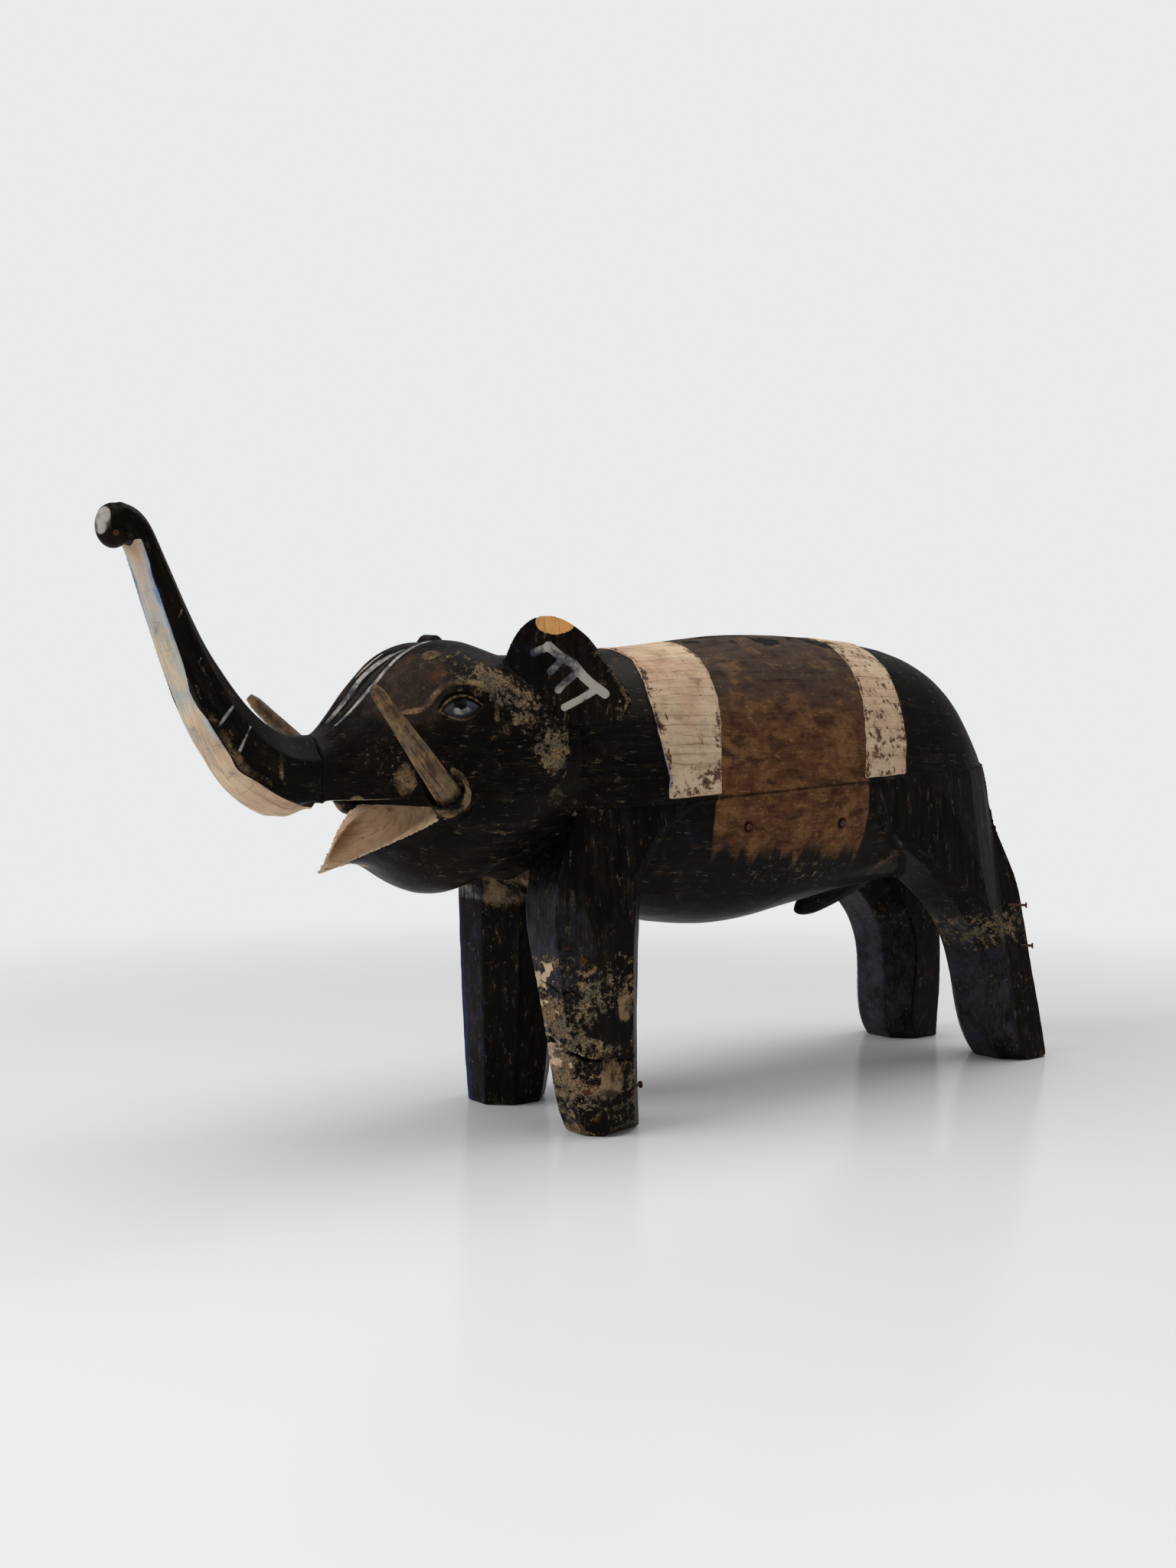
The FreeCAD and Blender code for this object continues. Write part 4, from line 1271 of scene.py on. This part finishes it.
@dataclass
class Legs(Piece):
    """Four faceted legs; the left front one is cracked, flaked and patched with rust."""

    grid: float = 1.15
    seam_start: float = 184.5
    seam_rise: float = 0.066
    flank: tuple = ((-40.0, 60.0), (-28.0, 61.0), (-5.0, 68.0), (47.0, 74.5), (262.0, 73.5), (303.0, 67.0),
                    (327.0, 57.0), (347.0, 45.0))
    flank_batter: float = 0.15
    cracks: tuple = (
        (Stroke(((30.0, -38.0, 90.0), (36.0, -37.0, 86.0), (48.0, -36.0, 83.0), (58.0, -34.0, 81.5),
                 (66.0, -27.0, 80.0))), 1.5, 1.6),
        (Stroke(((73.0, -19.0, 93.0), (73.0, -6.0, 92.5), (73.0, 3.0, 94.5), (68.0, 14.0, 96.0))), 1.3, 1.4),
        (Stroke(((30.0, -31.0, 55.0), (37.0, -32.0, 53.5), (47.0, -32.5, 51.0), (55.0, -32.0, 48.5),
                 (62.0, -27.0, 45.5), (69.0, -20.0, 43.5), (71.0, -6.0, 42.5), (70.0, 6.0, 44.0),
                 (66.0, 14.0, 47.0))), 2.0, 2.6),
    )
    front_wear: tuple = (
        Patch(Layer.TAN, (72.0, -12.0, 33.0), (8.0, 13.0, 17.0), 0.8),
        Patch(Layer.TAN, (73.0, -3.0, 72.0), (8.0, 9.0, 14.0), 0.6),
        *(Patch(Layer.RUST, centre, (size, size, size * 0.6), 0.54) for centre, size in (
            ((64.0, -24.0, 26.0), 6.0), ((66.0, -19.0, 10.0), 7.0), ((58.0, -34.0, 107.0), 6.0),
            ((66.0, -28.0, 100.0), 5.0), ((73.0, -12.0, 116.0), 4.0), ((72.0, 4.0, 24.0), 5.0),
        )),
    )
    thigh_edge: Stroke = Stroke(((75.0, 203.0, 193.0), (72.0, 212.0, 172.0), (69.0, 233.0, 152.0),
                                 (66.0, 262.0, 134.0)))
    thigh_wear: tuple = (Patch(Layer.RUST, (70.0, 268.0, 118.0), (6.0, 6.0, 8.0), 0.6),)

    def near_cracks(self, points: Array) -> Array:
        """True round the cracks, where the grid has to be finer."""
        return np.minimum.reduce([crack.distance(points)[0] for crack, _, _ in self.cracks]) < 4.0

    def dress(self, work: Carving, seed: int) -> Array:
        """What all four legs share: upright tooling, blue fronts that are partly painted light on the window
        side, and worn feet.

        Args:
            work: the leg being carved.
            seed: which run of cuts.

        Returns:
            The leg's points, right legs folded onto the left.
        """
        points = work.points
        seam = self.seam_start + self.seam_rise * points[:, 1]
        flank = np.interp(points[:, 1], *zip(*self.flank))
        flank += self.flank_batter * np.clip(seam - points[:, 2], 0.0, None)
        points[:, 0] -= np.sign(points[:, 0]) * np.clip(np.abs(points[:, 0]) - flank, 0.0, None)
        work.points = points
        work.grain = points
        self.tooled(work, 0.3, (14.0, 14.0, 42.0), seed)
        points, normals = work.left, work.normals
        # blue on the facets that face the window: partly blue coat, partly painted light
        front = ramp(-normals[:, 1], 0.6, 0.9)
        work.paint(Layer.NAVY, front * (0.34 - 0.25 * ramp(points[:, 2], 110.0, 150.0)))
        foot = 1.0 - ramp(points[:, 2], 0.0, 12.0)
        work.paint(Layer.TAN, foot * 0.3)
        return points

    def front_left(self) -> None:
        """Leg that shows the most wear."""
        work = Carving("leg_front_left", self.grid)
        work.refine(self.near_cracks)
        self.dress(work, 51)
        for crack, width, depth in self.cracks:
            self.crack(work, crack, width, depth)
        points, normals = work.points, work.normals
        x, y, z = points.T
        low = 1.0 - ramp(z, 82.0, 132.0)
        front = ramp(-normals[:, 1], 0.5, 0.85)
        kept = between(z, 56.0, 69.0, 4.0) * ramp(y, -26.0, -16.0)
        clumps = 0.1 + 1.55 * Noise(57).rough(points, (17.0, 17.0, 9.0), 4)
        work.paint(Layer.FLAKED, low * (0.85 + 0.35 * front) * (1.0 - 0.75 * kept) * clumps)
        smear = ramp(Noise(55).rough(points, (9.0, 9.0, 5.0), 5), 0.44, 0.62)
        work.paint(Layer.CREAM, front * between(z, 30.0, 104.0, 10.0) * smear * 0.62)
        work.paint(Layer.GRIME_AND_SHADE, front * 0.4)
        work.paint(Layer.SLATE, front * between(z, 72.0, 150.0, 18.0) * 0.5)
        work.dab(points, self.front_wear)
        work.paint(Layer.FLAKED, between(z, 118.0, 178.0, 14.0) * ramp(x, 60.0, 70.0) * 0.3)
        # dark band along the bottom edge of the foot, where it stands on the table
        work.paint(Layer.DARK, (1.0 - ramp(z, 0.3, 1.5)) * 0.8)
        work.finish("front_left_leg", self.paint, self.slot)

    def front_right(self) -> None:
        """Leg with the bluest front, partly painted light on the bevel that faces the window."""
        work = Carving("leg_front_right", self.grid)
        points = self.dress(work, 61)
        normals = work.normals
        front = ramp(-normals[:, 1], 0.4, 0.7)
        outer = front * ramp(points[:, 0], 50.0, 56.0) * (1.0 - ramp(points[:, 2], 128.0, 140.0))
        # brighter blue on the outer front bevel: partly blue coat, partly painted light where the window
        # falls
        work.paint(Layer.NAVY, outer * 0.72)
        work.paint(Layer.PALE_AND_HIGHLIGHT, front * between(points[:, 2], 124.0, 138.0, 5.0) * 0.42)
        work.paint(Layer.FLAKED, front * 0.4)
        inner = ramp(normals[:, 0], 0.3, 0.8) * ramp(points[:, 2], 108.0, 140.0)
        work.paint(Layer.TAN, inner * 0.8)
        work.paint(Layer.FLAKED, (1.0 - ramp(points[:, 2], 20.0, 60.0)) * 0.25)
        work.finish("front_right_leg", self.paint, self.slot)

    def rear(self, node: str, name: str, seed: int) -> None:
        """A hind leg with two flaked bands and a rubbed thigh edge.

        Args:
            node: name of the CAD node.
            name: name of the finished piece.
            seed: which run of cuts.
        """
        work = Carving(node, self.grid)
        points = self.dress(work, seed)
        normals = work.normals
        y, z = points[:, 1], points[:, 2]
        bands = between(z, 78.0, 112.0, 13.0) + 0.7 * between(z, 46.0, 62.0, 8.0)
        seen = 0.93 if node == "leg_rear_left" else 0.55
        work.paint(Layer.FLAKED, bands * (0.35 + 0.65 * ramp(y, 275.0, 315.0)) * seen)
        work.paint(Layer.FLAKED, (1.0 - ramp(z, 90.0, 140.0)) * 0.35)
        front = ramp(-normals[:, 1], 0.35, 0.8)
        work.paint(Layer.SLATE, front * (1.0 - ramp(z, 100.0, 150.0)) * 0.5)
        work.paint(Layer.TAN, self.thigh_edge.mark(points, 3.0, 2.0) * 0.5)
        work.paint(Layer.SLATE, self.thigh_edge.mark(points, 5.0, 2.5) * 0.45)
        work.dab(points, self.thigh_wear)
        work.finish(name, self.paint, self.slot)

    def build(self) -> None:
        """Carve and paint all four legs."""
        self.front_left()
        self.front_right()
        self.rear("leg_rear_left", "rear_left_leg", 71)
        self.rear("leg_rear_right", "rear_right_leg", 81)


@dataclass
class Tail(Piece):
    """Hanging tail with its tuft."""

    grid: float = 0.8
    middle: float = 384.0
    locks: float = 9.0

    def build(self) -> None:
        """Carve and paint the tail."""
        work = Carving("tail", self.grid)
        work.grain = work.points
        self.tooled(work, 0.3, (4.0, 4.0, 26.0), 91)
        tuft = 1.0 - ramp(work.points[:, 2], 120.0, 134.0)
        around = np.arctan2(work.points[:, 0], work.points[:, 1] - self.middle)
        work.sink(0.6 * tuft * (0.5 + 0.5 * np.cos(around * self.locks)))
        work.paint(Layer.TAN, tuft * 0.3)
        work.finish("tail_rod", self.paint, self.slot)


@dataclass
class Tusks:
    """Two bare tusks, whittled to long flats."""

    wood: bpy.types.Material
    grid: float = 0.55
    root: tuple = (55.0, -108.0, 192.0)
    point: tuple = (71.8, -163.0, 247.5)
    flats: int = 7
    twist: float = 0.004
    shaved: float = 0.8

    def build(self) -> None:
        """Whittle and weather both tusks, with painted shade at their roots."""
        for side, node in ((1.0, "tusk_left"), (-1.0, "tusk_right")):
            work = Carving(node, self.grid)
            root = np.array(self.root) * (side, 1.0, 1.0)
            way = np.array(self.point) * (side, 1.0, 1.0) - root
            length = np.linalg.norm(way)
            way /= length
            across = np.cross(way, (0.0, 0.0, 1.0))
            across /= np.linalg.norm(across)
            away = work.points - root
            along = away @ way
            a, b = away @ across, away @ np.cross(way, across)
            work.grain = np.stack([a, b, along], axis=1)
            turn = np.arctan2(b, a) + self.twist * along
            step = 2.0 * math.pi / self.flats
            flat = np.cos((turn % step) - step / 2.0)
            radius = np.hypot(a, b)
            shave = radius * (1.0 - np.cos(step / 2.0) / flat) * self.shaved
            uneven = Noise(95).scoops(work.grain, (7.0, 7.0, 18.0)) * 0.5
            work.sink(shave * ramp(along, 0.0, 8.0) + uneven)
            # painted shade on the tusk where it goes into its socket
            work.paint(Layer.DARK, (1.0 - ramp(along, 2.0, 9.0)) * 0.6)
            work.paint(Layer.RUST, ramp(along, 0.75 * length, length) * (0.3 + 0.2 * side))
            work.finish(f"{node}_horn", self.wood, "bare_wood")


@dataclass
class Fixings:
    """Nails that show and dowels that don't, kept as the CAD has them."""

    iron: bpy.types.Material
    dowel: bpy.types.Material

    def build(self) -> None:
        """Give the CAD fixings their finishes."""
        groups = {
            self.iron: ("flank_nails", "leg_nails"),
            self.dowel: ("neck_dowels", "trunk_dowel", "body_dowels", "leg_dowels", "ear_pegs",
                         "tail_peg"),
        }
        for finish, nodes in groups.items():
            for node in nodes:
                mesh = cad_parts[node].data
                mesh.materials.clear()
                mesh.materials.append(finish)
                log.info("%s keeps its CAD shape", node)


@dataclass
class Studio:
    """White table, soft window light from the left and the camera."""

    table_radius: float = 1.6
    camera_place: tuple = (736.6, -535.3, 213.0)
    camera_turn: float = 52.72
    camera_dip: float = 1.03
    lens: float = 35.0
    sensor: float = 36.0
    air: Colour = (0.82, 0.825, 0.83)
    shade: Colour = (0.32, 0.32, 0.325)
    middle: tuple = (0.0, 0.0, 0.2)
    lights: tuple = (
        ("window", (-0.6, -2.2, 1.5), 2.0, 40.0, (0.98, 0.99, 1.0)),
        ("ceiling", (0.1, 0.8, 2.6), 2.4, 42.0, (1.0, 0.99, 0.98)),
    )

    def table(self) -> None:
        """Lay the table top."""
        work = bmesh.new()
        bmesh.ops.create_circle(work, cap_ends=True, segments=96, radius=self.table_radius)
        mesh = bpy.data.meshes.new("table_top")
        work.to_mesh(mesh)
        work.free()
        mesh.materials.append(TableTop().make())
        top = bpy.data.objects.new("table_top", mesh)
        bpy.context.scene.collection.objects.link(top)

    def light(self, name: str, place: tuple, size: float, power: float, colour: Colour) -> None:
        """Hang one soft light that faces the figure.

        Args:
            name: name of the light.
            place: where it hangs, in metres.
            size: side of the square light in metres.
            power: power in watts.
            colour: colour of the light.
        """
        data = bpy.data.lights.new(name, "AREA")
        data.size = size
        data.energy = power
        data.color = colour
        lamp = bpy.data.objects.new(name, data)
        lamp.location = place
        aim = Vector(self.middle) - Vector(place)
        lamp.rotation_euler = aim.to_track_quat("-Z", "Y").to_euler()
        bpy.context.scene.collection.objects.link(lamp)

    def camera(self) -> None:
        """Set up the camera level with the figure's head."""
        data = bpy.data.cameras.new("camera")
        data.lens = self.lens
        data.sensor_width = self.sensor
        data.clip_start = 0.01
        lens = bpy.data.objects.new("camera", data)
        lens.location = Vector(self.camera_place) * MM + Vector((0.0, FEET_Y, 0.0))
        lens.rotation_euler = (math.radians(90.0 - self.camera_dip), 0.0, math.radians(self.camera_turn))
        bpy.context.scene.collection.objects.link(lens)
        bpy.context.scene.camera = lens

    def room(self, tree: bpy.types.NodeTree) -> None:
        """Pale air to look at, and softer shade to light the figure with.

        Args:
            tree: the world's nodes.
        """
        tree.nodes.clear()
        seen, lit = (tree.nodes.new("ShaderNodeBackground") for _ in range(2))
        seen.inputs["Color"].default_value = (*self.air, 1.0)
        lit.inputs["Color"].default_value = (*self.shade, 1.0)
        path, mix = tree.nodes.new("ShaderNodeLightPath"), tree.nodes.new("ShaderNodeMixShader")
        tree.links.new(path.outputs["Is Camera Ray"], mix.inputs[0])
        tree.links.new(lit.outputs[0], mix.inputs[1])
        tree.links.new(seen.outputs[0], mix.inputs[2])
        tree.links.new(mix.outputs[0], tree.nodes.new("ShaderNodeOutputWorld").inputs[0])

    def build(self) -> None:
        """Set the whole studio."""
        self.table()
        world = bpy.data.worlds.new("studio")
        world.use_nodes = True
        self.room(world.node_tree)
        bpy.context.scene.world = world
        bpy.context.scene.view_settings.view_transform = "Standard"
        for light in self.lights:
            self.light(*light)
        self.camera()


def main() -> None:
    """Build every piece of the figure and the studio round it."""
    logging.basicConfig(level=logging.INFO, format="%(name)s: %(message)s")
    paint = WornPaint().make()
    tusk_wood = BareWood("tusk_wood", srgb(80, 56, 37), srgb(154, 113, 69), srgb(98, 93, 74)).make()
    dowel_wood = BareWood("dowel_wood", srgb(176, 140, 100), srgb(196, 158, 112), srgb(160, 140, 116)).make()
    body = Body(paint)
    body.back()
    body.belly()
    Head(paint).build()
    Trunk(paint).build()
    Ears(paint).build()
    Legs(paint).build()
    Tail(paint).build()
    Tusks(tusk_wood).build()
    Fixings(RustyIron().make(), dowel_wood).build()
    Studio().build()


if __name__ == "__main__":
    main()
